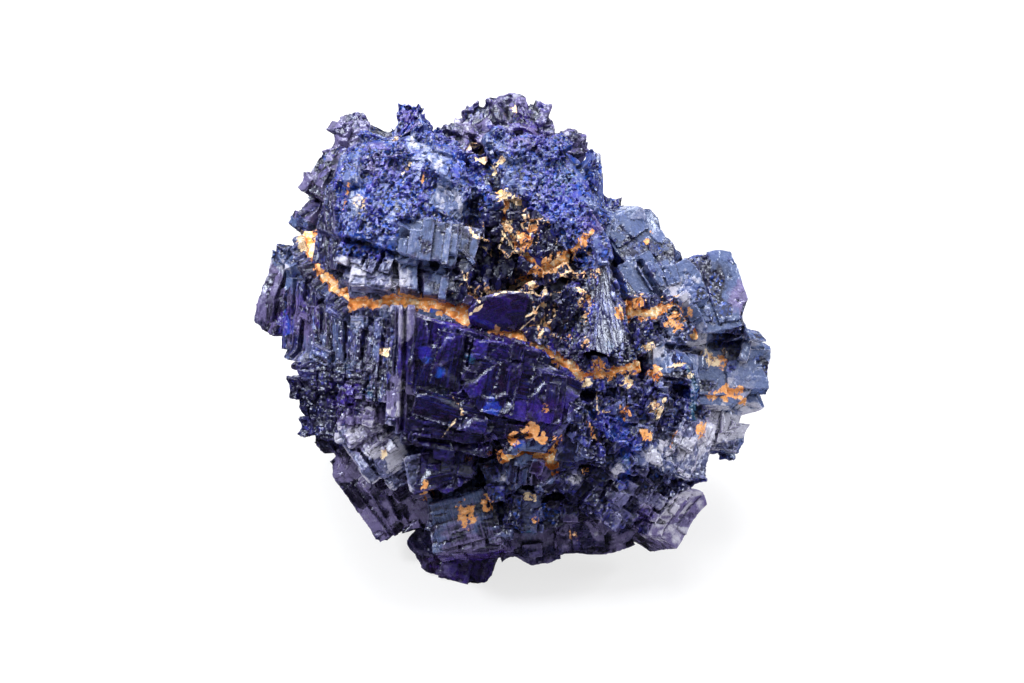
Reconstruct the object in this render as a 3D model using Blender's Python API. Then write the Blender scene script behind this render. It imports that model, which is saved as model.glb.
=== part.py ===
"""Azurite crystal cluster: blocky, intergrown azurite crystals with ochre clay in the seams between them.

The crystals grew into each other, so they are one solid. Each patch of clay is a solid of its own that lies in
a channel of the crystals. Every crystal is placed on the show face, the side that a collector displays: across
it to the right, up it, and out of it towards the viewer, in millimetres. The show face leans back on the base
that the cluster broke off on, and the whole is turned upright and scaled to metres at the end.
"""

import math
import random

import bmesh
import bpy
from mathutils import Matrix, Vector

# Driving dimensions, in millimetres and degrees
SHOW_WIDTH = 40.0  # the crystals' places below add up to this width
SHOW_LEAN = 35.0  # how far the show face leans back from upright
CORE_AT = (-0.8, -0.8, 0.0)  # centre of the solid middle
CORE_HALF = (13.8, 13.2, 12.0)  # its half sizes, across, up and out
BACK_HALF = (14.2, 13.4, 14.8)  # half sizes of the ring on which the crystals at the back stand
BASE_DROP = 12.1  # the broken base is this far under the middle
DOME_CORNERS = 34  # corners of the lump under a granular head
DOME_SQUARE = 0.72  # how squarely it bulges: 1 is an ellipsoid, less is nearer a box
CLAY_GAP = 0.3  # free space between the clay and the crystals around it
SHEAR = 0.05  # azurite is monoclinic, so its blocks lean a little
SKEW = 2.5  # degrees by which grown steps stray from their crystal
CLUSTER_TRIANGLES = 9600
MM = 0.001

AZURITE_BLUE = (0.012, 0.016, 0.14, 1.0)
OCHRE = (0.55, 0.22, 0.06, 1.0)

luck = random.Random(1815)


def clear_scene():
    for thing in list(bpy.data.objects):
        bpy.data.objects.remove(thing, do_unlink=True)


def mineral(name, colour, roughness):
    made = bpy.data.materials.new(name)
    made.use_nodes = True
    shader = made.node_tree.nodes["Principled BSDF"]
    shader.inputs["Base Color"].default_value = colour
    shader.inputs["Roughness"].default_value = roughness
    shader.inputs["Metallic"].default_value = 0.0
    return made


def facing(look, turn):
    """The turn of a crystal whose front looks so many degrees right and up, spun by turn in its own plane."""
    right, up = (math.radians(angle) for angle in look)
    spin = Matrix.Rotation(math.radians(turn), 4, "Z")
    return Matrix.Rotation(right, 4, "Y") @ Matrix.Rotation(-up, 4, "X") @ spin


def chip(shape, normal, depth):
    """Breaks the corner or edge that lies furthest along normal, to a flat face at that depth under it."""
    normal = Vector(normal).normalized()
    reach = max(normal.dot(point.co) for point in shape.verts)
    cut = bmesh.ops.bisect_plane(
        shape,
        geom=shape.verts[:] + shape.edges[:] + shape.faces[:],
        plane_co=normal * (reach - depth),
        plane_no=normal,
        clear_outer=True,
    )
    rim = [part for part in cut["geom_cut"] if isinstance(part, bmesh.types.BMEdge)]
    bmesh.ops.contextual_create(shape, geom=rim)


def crystal(growth, place, size, chips=()):
    """One flat-faced block: its front centre lies at place's origin, and it reaches size's depth behind it."""
    wide, tall, deep = size
    shape = bmesh.new()
    bmesh.ops.create_cube(shape, size=1.0)
    lean = Matrix.Identity(4)
    lean[0][1] = luck.uniform(-SHEAR, SHEAR)
    lean[1][2] = luck.uniform(-SHEAR, SHEAR)
    lean[0][2] = luck.uniform(-SHEAR, SHEAR)
    stretch = Matrix.Diagonal((wide, tall, deep, 1.0))
    bmesh.ops.transform(shape, matrix=lean @ stretch @ Matrix.Translation((0, 0, -0.5)), verts=shape.verts)
    for normal, depth in chips:
        chip(shape, normal, depth)
    bmesh.ops.transform(shape, matrix=place, verts=shape.verts)
    add(growth, shape)


def add(growth, shape):
    """Adds a closed shape to the growth, its faces pointing out."""
    bmesh.ops.recalc_face_normals(shape, faces=shape.faces)
    whole = bpy.data.meshes.new("crystal")
    shape.to_mesh(whole)
    shape.free()
    growth.from_mesh(whole)
    bpy.data.meshes.remove(whole)


def stray():
    """A small turn at random, as between crystals that grew side by side."""
    look = (luck.uniform(-SKEW, SKEW), luck.uniform(-SKEW, SKEW))
    return facing(look, luck.uniform(-SKEW, SKEW))


def corner_chips(count, depth):
    """Chips on corners and edges picked at random, as a knocked crystal has."""
    made = []
    for _ in range(count):
        normal = (luck.choice((-1, 1)), luck.choice((-1, 0.3, 1)), luck.uniform(0.2, 1.0))
        made.append((normal, depth * luck.uniform(0.6, 1.3)))
    return made


def grow(growth, at, size, look=(0, 0), turn=0, chips=(), steps=0, rise=0.5, worn=1):
    """A main crystal, with growth steps standing proud of its front and running along its height."""
    place = Matrix.Translation(at) @ facing(look, turn)
    wide, tall, deep = size
    crystal(growth, place, size, list(chips) + corner_chips(worn, 0.08 * (wide + tall)))
    for _ in range(steps):
        step_wide = wide * luck.uniform(0.2, 0.5)
        step_tall = tall * luck.uniform(0.35, 0.85)
        across = luck.uniform(-1, 1) * (wide - step_wide) * 0.52
        up = luck.uniform(-1, 1) * (tall - step_tall) * 0.54
        proud = rise * luck.uniform(0.4, 1.2)
        spot = place @ Matrix.Translation((across, up, proud)) @ stray()
        crystal(growth, spot, (step_wide, step_tall, proud + 1.2))


def comb(growth, at, size, look=(0, 0), turn=0, slabs=5, ragged=0.8, rise=0.5):
    """A stack of upright slabs side by side, with ragged ends and fronts, as a crystal's striated flank."""
    place = Matrix.Translation(at) @ facing(look, turn)
    wide, tall, deep = size
    crystal(growth, place @ Matrix.Translation((0, 0, -0.4)), (wide * 0.94, tall * 0.9, deep))
    pitch = wide / slabs
    for number in range(slabs):
        across = (number + 0.5) * pitch - wide / 2
        up = luck.uniform(-ragged, ragged)
        proud = luck.uniform(0, rise)
        width = pitch * luck.uniform(0.72, 0.93)
        height = tall * luck.uniform(0.8, 1.0)
        spot = place @ Matrix.Translation((across, up, proud)) @ stray()
        crystal(growth, spot, (width, height, deep * 0.6))


def hull(growth, corners):
    """A crystal given by its corners, whose faces are the flats that wrap them."""
    shape = bmesh.new()
    for corner in corners:
        shape.verts.new(corner)
    bmesh.ops.convex_hull(shape, input=shape.verts)
    add(growth, shape)


def bricks(growth, at, size, look=(0, 0), turn=0, rows=3, columns=4, rise=0.7):
    """A face broken into rows of small cubes, where the crystal grew in offset blocks."""
    place = Matrix.Translation(at) @ facing(look, turn)
    wide, tall, deep = size
    crystal(growth, place @ Matrix.Translation((0, 0, -0.3)), size, corner_chips(2, 0.6))
    for row in range(rows):
        for column in range(columns):
            if luck.random() < 0.12:
                continue
            across = ((column + 0.5 + 0.5 * (row % 2) - 0.25) / columns - 0.5) * wide
            up = ((row + 0.5) / rows - 0.5) * tall
            proud = luck.uniform(0.0, rise)
            spot = place @ Matrix.Translation((across, up, proud)) @ stray()
            side = (wide / columns * luck.uniform(0.8, 0.95), tall / rows * luck.uniform(0.8, 0.95))
            crystal(growth, spot, (*side, proud + 1.0))


def dome(growth, at, size, look=(0, 0), turn=0, knobs=12):
    """A rounded head of many small crystals: a many-faced lump, studded with cubes."""
    place = Matrix.Translation(at) @ facing(look, turn)
    half = [side / 2 for side in size]
    golden = math.pi * (3 - math.sqrt(5))
    corners = []
    for number in range(DOME_CORNERS):
        out = 1 - 2 * (number + 0.5) / DOME_CORNERS
        ring = math.sqrt(1 - out * out)
        reach = luck.uniform(0.94, 1.06)
        spot = (ring * math.cos(golden * number), ring * math.sin(golden * number), out)
        squared = [math.copysign(abs(part) ** DOME_SQUARE, part) * reach * side for part, side in zip(spot, half)]
        corners.append(place @ (Vector(squared) - Vector((0, 0, half[2]))))
    hull(growth, corners)
    for _ in range(knobs):
        angle = luck.uniform(0, math.tau)
        lean = 0.95 * math.sqrt(luck.random())
        across, up = lean * math.cos(angle), lean * math.sin(angle)
        out = math.sqrt(1 - lean * lean)
        spot = [math.copysign(abs(part) ** DOME_SQUARE, part) * side for part, side in zip((across, up, out), half)]
        side = luck.uniform(1.2, 2.2)
        swing = facing((60 * across, 60 * up), luck.uniform(-12, 12))
        raised = Matrix.Translation((0, 0, luck.uniform(0.1, 0.4)))
        stand = place @ Matrix.Translation(Vector(spot) - Vector((0, 0, half[2]))) @ swing @ raised
        crystal(growth, stand, (side, side * luck.uniform(0.8, 1.4), 2.0))


def upper_left_head(growth):
    """The granular head on the upper left, its columns breaking out along its lower edge."""
    dome(growth, (-8.9, 12.0, 12.4), (12.4, 12.2, 11.0), look=(-8, 30), turn=-16, knobs=11)
    comb(growth, (-5.4, 7.2, 13.6), (6.0, 4.6, 5.0), look=(2, 18), turn=-14, slabs=4, ragged=0.35)
    comb(growth, (-10.6, 7.2, 13.2), (4.6, 4.2, 5.0), look=(-14, 12), turn=-18, slabs=4, ragged=0.3)
    grow(growth, (-9.6, 4.9, 13.0), (6.2, 2.2, 5.0), look=(-10, 34), turn=-14, steps=2, rise=0.3)
    grow(growth, (-5.7, 4.6, 13.3), (3.2, 2.4, 4.6), look=(4, 30), turn=-12, steps=1, rise=0.3)
    comb(growth, (-13.6, 8.6, 10.2), (3.2, 7.4, 5.0), look=(-46, 6), turn=-4, slabs=3)
    grow(growth, (-7.8, 17.2, 6.8), (2.7, 2.6, 5.0), look=(0, 35), turn=-12, steps=1)
    grow(growth, (-10.0, 16.3, 5.6), (3.0, 2.4, 5.0), look=(-15, 38), turn=10, steps=1)
    grow(growth, (-12.5, 16.2, 2.4), (2.8, 3.4, 5.0), look=(-22, 30), turn=-14, worn=4)
    grow(growth, (-4.8, 15.2, 4.6), (3.6, 2.6, 5.0), look=(12, 40), turn=8, steps=1)
    grow(growth, (-14.4, 13.2, 4.8), (2.6, 4.4, 5.0), look=(-40, 22), turn=-22, steps=1)
    grow(growth, (-15.2, 11.9, 3.4), (1.6, 2.2, 4.0), look=(-40, 10), turn=-38)
    grow(growth, (-15.4, 9.6, 2.8), (3.0, 2.8, 5.0), look=(-48, 28), turn=-12, steps=1)


def upper_right_head(growth):
    """The second granular head, behind a cleft, with a knot of small crystals on its crown."""
    dome(growth, (2.6, 11.6, 11.2), (11.0, 12.4, 11.0), look=(12, 28), turn=24, knobs=11)
    grow(growth, (4.6, 8.2, 12.2), (4.4, 3.2, 5.0), look=(18, 8), turn=30, steps=2, rise=0.3)
    grow(growth, (0.0, 18.0, -0.6), (2.5, 3.2, 6.0), look=(-4, 40), turn=-12, worn=3)
    grow(growth, (-1.5, 17.2, -0.6), (2.8, 2.4, 6.0), look=(-16, 45), turn=30)
    grow(growth, (-3.5, 16.3, 0.4), (2.6, 2.8, 5.0), look=(-18, 42), turn=4, worn=3)
    grow(growth, (2.0, 16.8, 1.2), (2.6, 2.4, 5.0), look=(10, 42), turn=-20, steps=1)
    grow(growth, (4.4, 15.2, 3.0), (2.8, 2.0, 5.0), look=(24, 44), turn=-26, steps=1)
    grow(growth, (0.4, 14.6, 6.4), (3.4, 2.8, 5.0), look=(-8, 44), turn=14, steps=2)
    grow(growth, (6.6, 11.4, 8.2), (2.4, 4.8, 6.0), look=(46, 14), turn=8, steps=2)
    grow(growth, (-1.6, 12.4, 8.0), (2.6, 3.6, 5.0), look=(-20, 22), turn=16, steps=1)


def cleft_blades(growth):
    """Small dark blades that cross in the hollow under the two heads, with clay between them."""
    for at, size, turn in (
        ((-2.4, 7.6, 12.0), (1.7, 3.0, 4.0), -20),
        ((-0.4, 8.6, 11.4), (2.0, 2.8, 4.0), 18),
        ((1.4, 7.3, 11.8), (1.8, 2.4, 4.0), 40),
        ((-1.9, 4.9, 12.2), (1.4, 2.8, 4.0), 28),
        ((-0.3, 5.8, 12.0), (1.3, 2.6, 4.0), -35),
        ((2.6, 5.4, 12.2), (2.4, 1.6, 4.0), 32),
        ((-2.6, 2.8, 12.8), (1.2, 2.7, 4.0), 38),
        ((3.7, 6.8, 12.4), (1.5, 1.7, 4.0), 36),
        ((3.1, 3.5, 12.6), (1.3, 2.6, 4.0), -42),
        ((2.9, 1.2, 12.9), (1.5, 3.3, 4.0), -48),
        ((5.3, 7.5, 12.6), (1.1, 1.5, 4.0), 30),
    ):
        grow(growth, at, size, look=(luck.uniform(-14, 14), luck.uniform(-6, 16)), turn=turn, worn=2)
    lens_chips = (((-1, 0.8, 0), 1.5), ((-0.5, 1, 0), 0.8), ((1, 0.7, 0), 1.2), ((1, -1, 0), 1.6), ((-1, -1, 0), 1.2))
    grow(growth, (0.3, 2.4, 13.6), (5.2, 2.9, 4.0), look=(4, 4), turn=14, chips=lens_chips, steps=1, rise=0.3, worn=0)


def pointed_wedge(growth):
    """The tall wedge right of the middle, which comes to a point under the upper right head."""
    peak = (6.5, 8.3, 12.2)
    shoulder = (7.1, 5.4, 14.0)
    hull(growth, (peak, shoulder, (6.2, -0.8, 16.2), (4.4, -1.3, 14.8), (2.5, 0.0, 12.4), (3.3, 3.2, 11.8), (6, 2, 6)))
    hull(growth, (peak, shoulder, (6.2, -0.8, 16.2), (8.3, -1.6, 15.2), (8.6, 3.0, 13.4), (7, 2, 6)))
    hull(growth, ((7.0, 6.8, 12.6), (8.4, 3.4, 13.0), (8.5, -1.4, 14.4), (10.4, -0.9, 13.0), (9.6, 3.4, 12.0), (8, 2, 6)))
    grow(growth, (3.9, 1.9, 13.9), (1.5, 4.2, 2.0), look=(-30, -10), turn=-28, steps=1, rise=0.3)
    grow(growth, (6.9, 6.9, 13.3), (1.3, 2.0, 3.0), look=(-6, 24), turn=10, chips=(((1, 1, 0), 0.5),), worn=1)
    grow(growth, (9.9, 0.2, 13.2), (2.4, 2.2, 5.0), look=(16, -4), turn=30, steps=1)


def right_plates(growth):
    """The three big flat-faced crystals on the right, set back behind the front ones."""
    rounded = (((1, 1, 0), 1.8), ((-1, 1, 0), 1.0), ((1, -1, 0.6), 0.9), ((0.5, 1, 0.8), 0.9))
    grow(growth, (9.8, 7.9, 6.4), (5.0, 6.2, 8.0), look=(22, 26), turn=30, chips=rounded, steps=2, worn=0)
    grow(growth, (9.8, 4.9, 9.4), (3.6, 3.0, 6.0), look=(18, 18), turn=24, steps=1)
    plate = (((1, 1, 0), 2.4), ((1, 0.2, 0.7), 0.5), ((0.2, 1, 0.8), 0.5))
    grow(growth, (14.6, 3.5, 5.6), (7.4, 6.3, 8.0), look=(14, 22), turn=10, chips=plate, steps=3, rise=0.3, worn=0)
    grow(growth, (17.6, 1.4, 5.0), (1.8, 2.6, 5.0), look=(34, 8), turn=6, steps=1)
    low_plate = (((1, -1, 0), 2.2), ((1, 0.1, 0.8), 0.5))
    grow(growth, (16.4, -2.5, 4.8), (7.0, 5.4, 8.0), look=(14, 18), turn=-4, chips=low_plate, steps=3, rise=0.3, worn=0)
    grow(growth, (16.2, -5.2, 4.4), (5.6, 4.4, 7.0), look=(16, 10), turn=-12, chips=low_plate, steps=2, rise=0.3, worn=0)
    grow(growth, (16.8, -7.6, 4.2), (3.2, 2.6, 6.0), look=(20, 4), turn=-8, steps=1)
    grow(growth, (12.2, 1.2, 11.0), (3.2, 2.2, 5.0), look=(20, 14), turn=-38, steps=1)
    curved = (((-1, 1, 0), 0.8), ((1, 1, 0), 1.4), ((0, 1, 0.6), 0.5))
    grow(growth, (12.0, -1.2, 12.0), (3.6, 3.4, 6.0), look=(20, 12), turn=-6, chips=curved, steps=2, rise=0.3, worn=0)
    grow(growth, (13.9, -3.6, 9.6), (1.0, 6.2, 6.0), look=(40, 4), turn=2, worn=1)
    grow(growth, (13.0, 4.3, 8.2), (3.0, 3.4, 5.0), look=(10, 20), turn=20, steps=1)


def front_slab(growth):
    """The broad dark slab at the front, cleaved in shallow terraces, with a bright strip up its left edge."""
    front = ((-8.6, 2.5, 15.6), (-2.4, 0.4, 16.9), (5.3, -3.2, 16.2), (4.8, -5.8, 16.4), (2.6, -8.3, 15.6), (-8.2, -7.0, 15.3))
    hull(growth, (*front, *((across * 0.95, up, 7.0) for across, up, _ in front)))
    for at, size in (
        ((-5.6, -1.6, 16.6), (5.2, 5.8, 2.0)),
        ((-0.9, -3.0, 17.1), (5.0, 5.2, 2.0)),
        ((2.6, -4.4, 17.0), (2.6, 3.6, 2.0)),
        ((-4.2, -5.4, 16.5), (6.4, 2.2, 2.0)),
    ):
        grow(growth, at, size, look=(luck.uniform(-3, 3), -7), turn=luck.uniform(-16, -9), steps=1, rise=0.3)
    grow(growth, (-4.8, -7.3, 15.4), (7.0, 2.2, 7.0), look=(-2, -22), turn=-9, steps=2, rise=0.3)
    grow(growth, (0.9, -7.2, 15.6), (4.4, 2.4, 7.0), look=(6, -18), turn=-6, steps=1, rise=0.4)
    comb(growth, (-8.7, -2.2, 15.2), (1.6, 9.0, 6.0), look=(-36, 4), turn=-2, slabs=2, ragged=0.3)


def left_flank(growth):
    """The striated flank on the left: columns that run down it and break into small cubes."""
    comb(growth, (-10.6, -1.6, 13.9), (3.4, 6.6, 7.0), look=(-28, 6), turn=-4, slabs=4, ragged=0.4)
    comb(growth, (-13.4, -0.3, 10.8), (4.4, 6.8, 7.0), look=(-38, 4), turn=2, slabs=4, ragged=0.5)
    comb(growth, (-16.2, 1.4, 6.2), (4.0, 6.4, 7.0), look=(-48, 2), turn=-6, slabs=3, ragged=0.5)
    grow(growth, (-17.4, 4.2, 1.8), (4.8, 6.8, 8.0), look=(-34, 4), turn=-14, chips=(((-1, 1, 0), 1.6),), steps=2)
    grow(growth, (-16.6, 6.7, 2.4), (2.8, 2.4, 6.0), look=(-30, 40), turn=20, steps=1, rise=0.3)
    grow(growth, (-14.6, 5.8, 7.6), (2.8, 2.6, 5.0), look=(-36, 24), turn=-30, steps=2)
    bricks(growth, (-14.4, -4.9, 9.7), (5.2, 4.6, 6.0), look=(-38, -4), turn=4, rows=3, columns=3)
    bricks(growth, (-11.5, -4.9, 12.8), (3.4, 3.0, 5.0), look=(-28, -4), turn=-2, rows=2, columns=3, rise=0.5)
    grow(growth, (-13.9, -7.5, 7.8), (3.6, 2.0, 6.0), look=(-36, -20), turn=8, steps=1)


def lower_left(growth):
    """The two pale blocks under the flank, and the dark slabs that reach down behind them."""
    comb(growth, (-11.0, -7.6, 12.6), (3.4, 3.8, 4.5), look=(-14, 22), turn=40, slabs=4, ragged=0.2, rise=0.3)
    comb(growth, (-8.9, -9.3, 12.2), (2.8, 2.6, 4.0), look=(-10, 20), turn=40, slabs=3, ragged=0.2, rise=0.3)
    tail = (((-1, -1, 0), 1.0), ((1, -1, 0), 1.4))
    grow(growth, (-10.8, -11.4, 5.4), (4.4, 7.8, 8.0), look=(-24, -16), turn=32, chips=tail, steps=2, rise=0.4)
    grow(growth, (-8.4, -12.2, 6.6), (4.2, 5.0, 7.0), look=(-10, -22), turn=24, steps=2)
    point = (((-1, -1, 0), 1.3), ((1, -1, 0), 0.9))
    grow(growth, (-5.0, -9.6, 13.2), (4.0, 3.6, 5.0), look=(-8, -4), turn=-14, chips=point, steps=2, rise=0.3)


def lower_middle(growth):
    """The striated block and fan under the front slab, and the dark slabs along the bottom edge."""
    comb(growth, (-3.6, -13.8, 10.4), (5.4, 4.8, 6.0), look=(-8, 10), turn=6, slabs=5, ragged=0.2, rise=0.25)
    comb(growth, (1.4, -9.4, 14.2), (3.4, 3.4, 5.0), look=(4, -6), turn=-8, slabs=4, ragged=0.25, rise=0.3)
    grow(growth, (-1.0, -10.4, 12.6), (2.2, 3.0, 5.0), look=(-16, -10), turn=22, steps=1)
    grow(growth, (0.8, -12.9, 11.6), (2.6, 3.0, 5.0), look=(2, 4), turn=-10, steps=2)
    spade = (((1, -1, 0), 1.5), ((-1, -1, 0), 0.5))
    grow(growth, (-4.4, -16.4, 5.6), (6.2, 4.2, 8.0), look=(-8, -14), turn=-17, chips=spade, steps=1, rise=0.4)
    grow(growth, (1.3, -15.9, 7.6), (4.6, 2.8, 7.0), look=(2, -14), turn=9, steps=1, rise=0.4)
    grow(growth, (6.4, -14.6, 8.6), (6.0, 3.0, 7.0), look=(10, -14), turn=7, steps=1, rise=0.4)
    grow(growth, (3.2, -13.2, 11.2), (6.0, 2.0, 6.0), look=(4, -8), turn=12, steps=2, rise=0.3)


def lower_right(growth):
    """The broken mass on the lower right, in rows of cubes that run down to a tilted end slab."""
    grow(growth, (5.2, -7.0, 14.9), (3.4, 4.6, 7.0), look=(8, -6), turn=-6, steps=3, rise=0.5)
    grow(growth, (9.4, -4.4, 13.2), (5.4, 2.8, 7.0), look=(14, 4), turn=2, steps=3, rise=0.6)
    grow(growth, (8.2, -7.4, 13.6), (5.2, 5.0, 7.0), look=(12, 0), turn=-14, steps=3, rise=0.6)
    grow(growth, (12.4, -7.2, 11.4), (4.4, 5.6, 7.0), look=(24, 8), turn=-24, steps=2, rise=0.5)
    grow(growth, (14.0, -8.3, 8.8), (2.8, 5.0, 6.0), look=(34, 6), turn=-22, steps=2, rise=0.4)
    bricks(growth, (7.6, -11.2, 12.6), (5.6, 4.4, 6.0), look=(8, -10), turn=-34, rows=3, columns=3)
    bricks(growth, (10.6, -12.0, 11.0), (4.6, 3.8, 6.0), look=(18, -8), turn=-38, rows=2, columns=3)
    bricks(growth, (3.4, -9.9, 13.6), (2.4, 3.2, 5.0), look=(4, -12), turn=-12, rows=2, columns=2)
    grow(growth, (12.3, -13.3, 10.2), (3.6, 4.4, 6.0), look=(20, 2), turn=-36, steps=2, rise=0.25)


def back_and_sides(growth):
    """The rest of the cluster, turned from the viewer: the same blocks, laid round the back at an even spacing."""
    places = 29
    golden = math.pi * (3 - math.sqrt(5))
    for number in range(places):
        out = 0.04 - 1.02 * (number + 0.5) / places
        ring = math.sqrt(1 - out * out)
        across, up = ring * math.cos(golden * number), ring * math.sin(golden * number)
        reach = luck.uniform(0.94, 1.07)
        at = Vector(CORE_AT) + reach * Vector((across * BACK_HALF[0], up * BACK_HALF[1], out * BACK_HALF[2]))
        look = (math.degrees(math.atan2(across, out)), math.degrees(math.asin(up)))
        spread = luck.choice((0.95, 1.25, 1.5))
        size = (spread * luck.uniform(4.2, 7.0), spread * luck.uniform(4.6, 7.4), luck.uniform(7.0, 9.0))
        tilt = (look[0] + luck.uniform(-16, 16), look[1] + luck.uniform(-16, 16))
        turn = luck.uniform(-40, 40)
        if number % 5 == 0:
            comb(growth, at, size, look=tilt, turn=turn, slabs=3)
        elif number % 5 == 3:
            bricks(growth, at, size, look=tilt, turn=turn, rows=2, columns=2)
        else:
            grow(growth, at, size, look=tilt, turn=turn, steps=1, rise=0.8, worn=2)


def middle():
    """The solid middle that all the crystals grew from, hidden under them."""
    core = bmesh.new()
    bmesh.ops.create_icosphere(core, subdivisions=1, radius=1.05)
    place = Matrix.Translation(CORE_AT) @ Matrix.Diagonal((*CORE_HALF, 1.0))
    bmesh.ops.transform(core, matrix=place, verts=core.verts)
    return placed("middle", core)


def ribbon(name, route, grow_by=0.0):
    """A lumpy ribbon of clay along a route of (across, up, out, radius) points, closed at both ends."""
    sides = 6
    lumps = random.Random(name)
    shape = bmesh.new()
    rings = []
    points = [Vector(point[:3]) for point in route]
    for number, point in enumerate(points):
        ahead = points[min(number + 1, len(points) - 1)]
        behind = points[max(number - 1, 0)]
        along = (ahead - behind).normalized()
        side = along.cross(Vector((0, 0, 1))).normalized()
        over = side.cross(along)
        ring = []
        for step in range(sides):
            angle = math.tau * step / sides
            radius = route[number][3] * lumps.uniform(0.72, 1.2) + grow_by
            ring.append(shape.verts.new(point + radius * (side * math.cos(angle) + over * math.sin(angle))))
        rings.append(ring)
    for first, second in zip(rings, rings[1:]):
        for step in range(sides):
            ahead = (step + 1) % sides
            shape.faces.new((first[step], first[ahead], second[ahead], second[step]))
    ends = ((rings[0], points[0] - points[1]), (rings[-1], points[-1] - points[-2]))
    for number, (ring, outward) in enumerate(ends):
        centre = sum((corner.co for corner in ring), Vector()) / sides
        tip = shape.verts.new(centre + outward.normalized() * (route[-number][3] * 0.5 + grow_by))
        for step in range(sides):
            shape.faces.new((ring[step], ring[(step + 1) % sides], tip))
    bmesh.ops.recalc_face_normals(shape, faces=shape.faces)
    return placed(name, shape)


def placed(name, shape):
    """An object from a shape, in the scene."""
    data = bpy.data.meshes.new(name)
    shape.to_mesh(data)
    shape.free()
    thing = bpy.data.objects.new(name, data)
    bpy.context.scene.collection.objects.link(thing)
    return thing


def applied(thing, step):
    """Makes what a modifier does part of the mesh, and removes the modifier."""
    bpy.context.view_layer.update()
    done = bpy.data.meshes.new_from_object(thing.evaluated_get(bpy.context.evaluated_depsgraph_get()))
    thing.modifiers.remove(step)
    thing.data = done


def cut_or_join(thing, tool, operation):
    """Applies one Boolean to thing and removes the tool."""
    step = thing.modifiers.new("step", "BOOLEAN")
    step.operation = operation
    step.object = tool
    step.solver = "EXACT"
    step.use_self = operation == "UNION"
    applied(thing, step)
    bpy.data.objects.remove(tool, do_unlink=True)


def thin_out(thing, triangles):
    """Drops the smallest slivers that the crystals' joins left, down to that many triangles."""
    step = thing.modifiers.new("step", "DECIMATE")
    step.ratio = triangles / len(thing.data.polygons)
    applied(thing, step)


def base_cutter():
    """All that lies under the broken base."""
    shape = bmesh.new()
    bmesh.ops.create_cube(shape, size=4 * SHOW_WIDTH)
    sink = Matrix.Translation((0, 0, -BASE_DROP - 2 * SHOW_WIDTH))
    bmesh.ops.transform(shape, matrix=upright().inverted() @ sink, verts=shape.verts)
    return placed("under_the_base", shape)


def largest_body(thing):
    """Drops sealed voids and crumbs that a cut has freed, which leaves the one body."""
    shape = bmesh.new()
    shape.from_mesh(thing.data)
    bmesh.ops.triangulate(shape, faces=shape.faces)
    bmesh.ops.remove_doubles(shape, verts=shape.verts, dist=0.002)
    shape.verts.ensure_lookup_table()
    left = set(shape.verts)
    bodies = []
    while left:
        body, edge = set(), [left.pop()]
        while edge:
            point = edge.pop()
            body.add(point)
            for line in point.link_edges:
                other = line.other_vert(point)
                if other in left:
                    left.discard(other)
                    edge.append(other)
        bodies.append(body)
    biggest = max(bodies, key=len)
    stray_points = [point for body in bodies if body is not biggest for point in body]
    bmesh.ops.delete(shape, geom=stray_points, context="VERTS")
    shape.to_mesh(thing.data)
    shape.free()


def upright():
    """The turn that leans the show face back on the base."""
    return Matrix.Rotation(math.radians(90.0 - SHOW_LEAN), 4, "X")


def set_down(things):
    """Turns the parts upright, sets the base at height zero under the middle of their box, and scales to metres."""
    for thing in things:
        thing.data.transform(upright())
    corners = [point.co for thing in things for point in thing.data.vertices]
    low = Vector(min(corner[axis] for corner in corners) for axis in range(3))
    high = Vector(max(corner[axis] for corner in corners) for axis in range(3))
    home = Matrix.Translation((-(low.x + high.x) / 2, -(low.y + high.y) / 2, -low.z))
    for thing in things:
        thing.data.transform(Matrix.Scale(MM, 4) @ home)
        thing.data.update()


# The routes of the clay: points (across, up, out, radius) along each seam
CLAY_ROUTES = {
    "clay_long_seam": (
        (-15.6, 8.0, 5.4, 0.9),
        (-14.4, 5.0, 9.0, 1.0),
        (-11.8, 2.7, 12.0, 1.0),
        (-8.7, 3.2, 12.8, 1.0),
        (-5.4, 2.6, 13.4, 1.1),
        (-1.2, 0.9, 13.9, 0.8),
        (2.8, -0.9, 14.2, 0.9),
        (5.2, -2.6, 14.2, 1.0),
        (9.6, -2.0, 13.0, 0.8),
    ),
    "clay_cleft": (
        (-0.8, 11.2, 12.0, 0.7),
        (-0.4, 8.6, 12.6, 0.9),
        (1.0, 6.6, 12.4, 1.1),
        (2.6, 5.6, 12.4, 1.1),
        (4.2, 6.2, 12.8, 0.8),
    ),
    "clay_right_pocket": (
        (8.8, 2.2, 12.6, 0.8),
        (10.6, 2.0, 11.8, 0.9),
        (12.4, 2.9, 9.9, 0.8),
        (13.9, 0.4, 8.0, 0.8),
    ),
    "clay_lower_pocket": (
        (-0.6, -8.6, 13.4, 0.8),
        (0.9, -7.9, 14.2, 0.9),
        (2.8, -8.5, 14.0, 0.9),
        (3.1, -10.6, 12.8, 0.7),
    ),
}


def build():
    clear_scene()
    growth = bmesh.new()
    for area in (
        upper_left_head,
        upper_right_head,
        cleft_blades,
        pointed_wedge,
        right_plates,
        front_slab,
        left_flank,
        lower_left,
        lower_middle,
        lower_right,
        back_and_sides,
    ):
        area(growth)
    cluster = placed("azurite_crystals", growth)
    cut_or_join(cluster, middle(), "UNION")
    cut_or_join(cluster, base_cutter(), "DIFFERENCE")
    clays = []
    for name, route in CLAY_ROUTES.items():
        cut_or_join(cluster, ribbon(name, route, CLAY_GAP), "DIFFERENCE")
        clays.append(ribbon(name, route))
    largest_body(cluster)
    thin_out(cluster, CLUSTER_TRIANGLES)
    set_down([cluster, *clays])
    azurite = mineral("azurite", AZURITE_BLUE, 0.25)
    clay = mineral("ochre_clay", OCHRE, 0.9)
    cluster.data.materials.clear()
    cluster.data.materials.append(azurite)
    for patch in clays:
        patch.data.materials.append(clay)


build()
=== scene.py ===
"""A loose azurite cluster on a pale floor: blue blocky crystals grown together, ochre clay between."""

import math
import random

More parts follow.
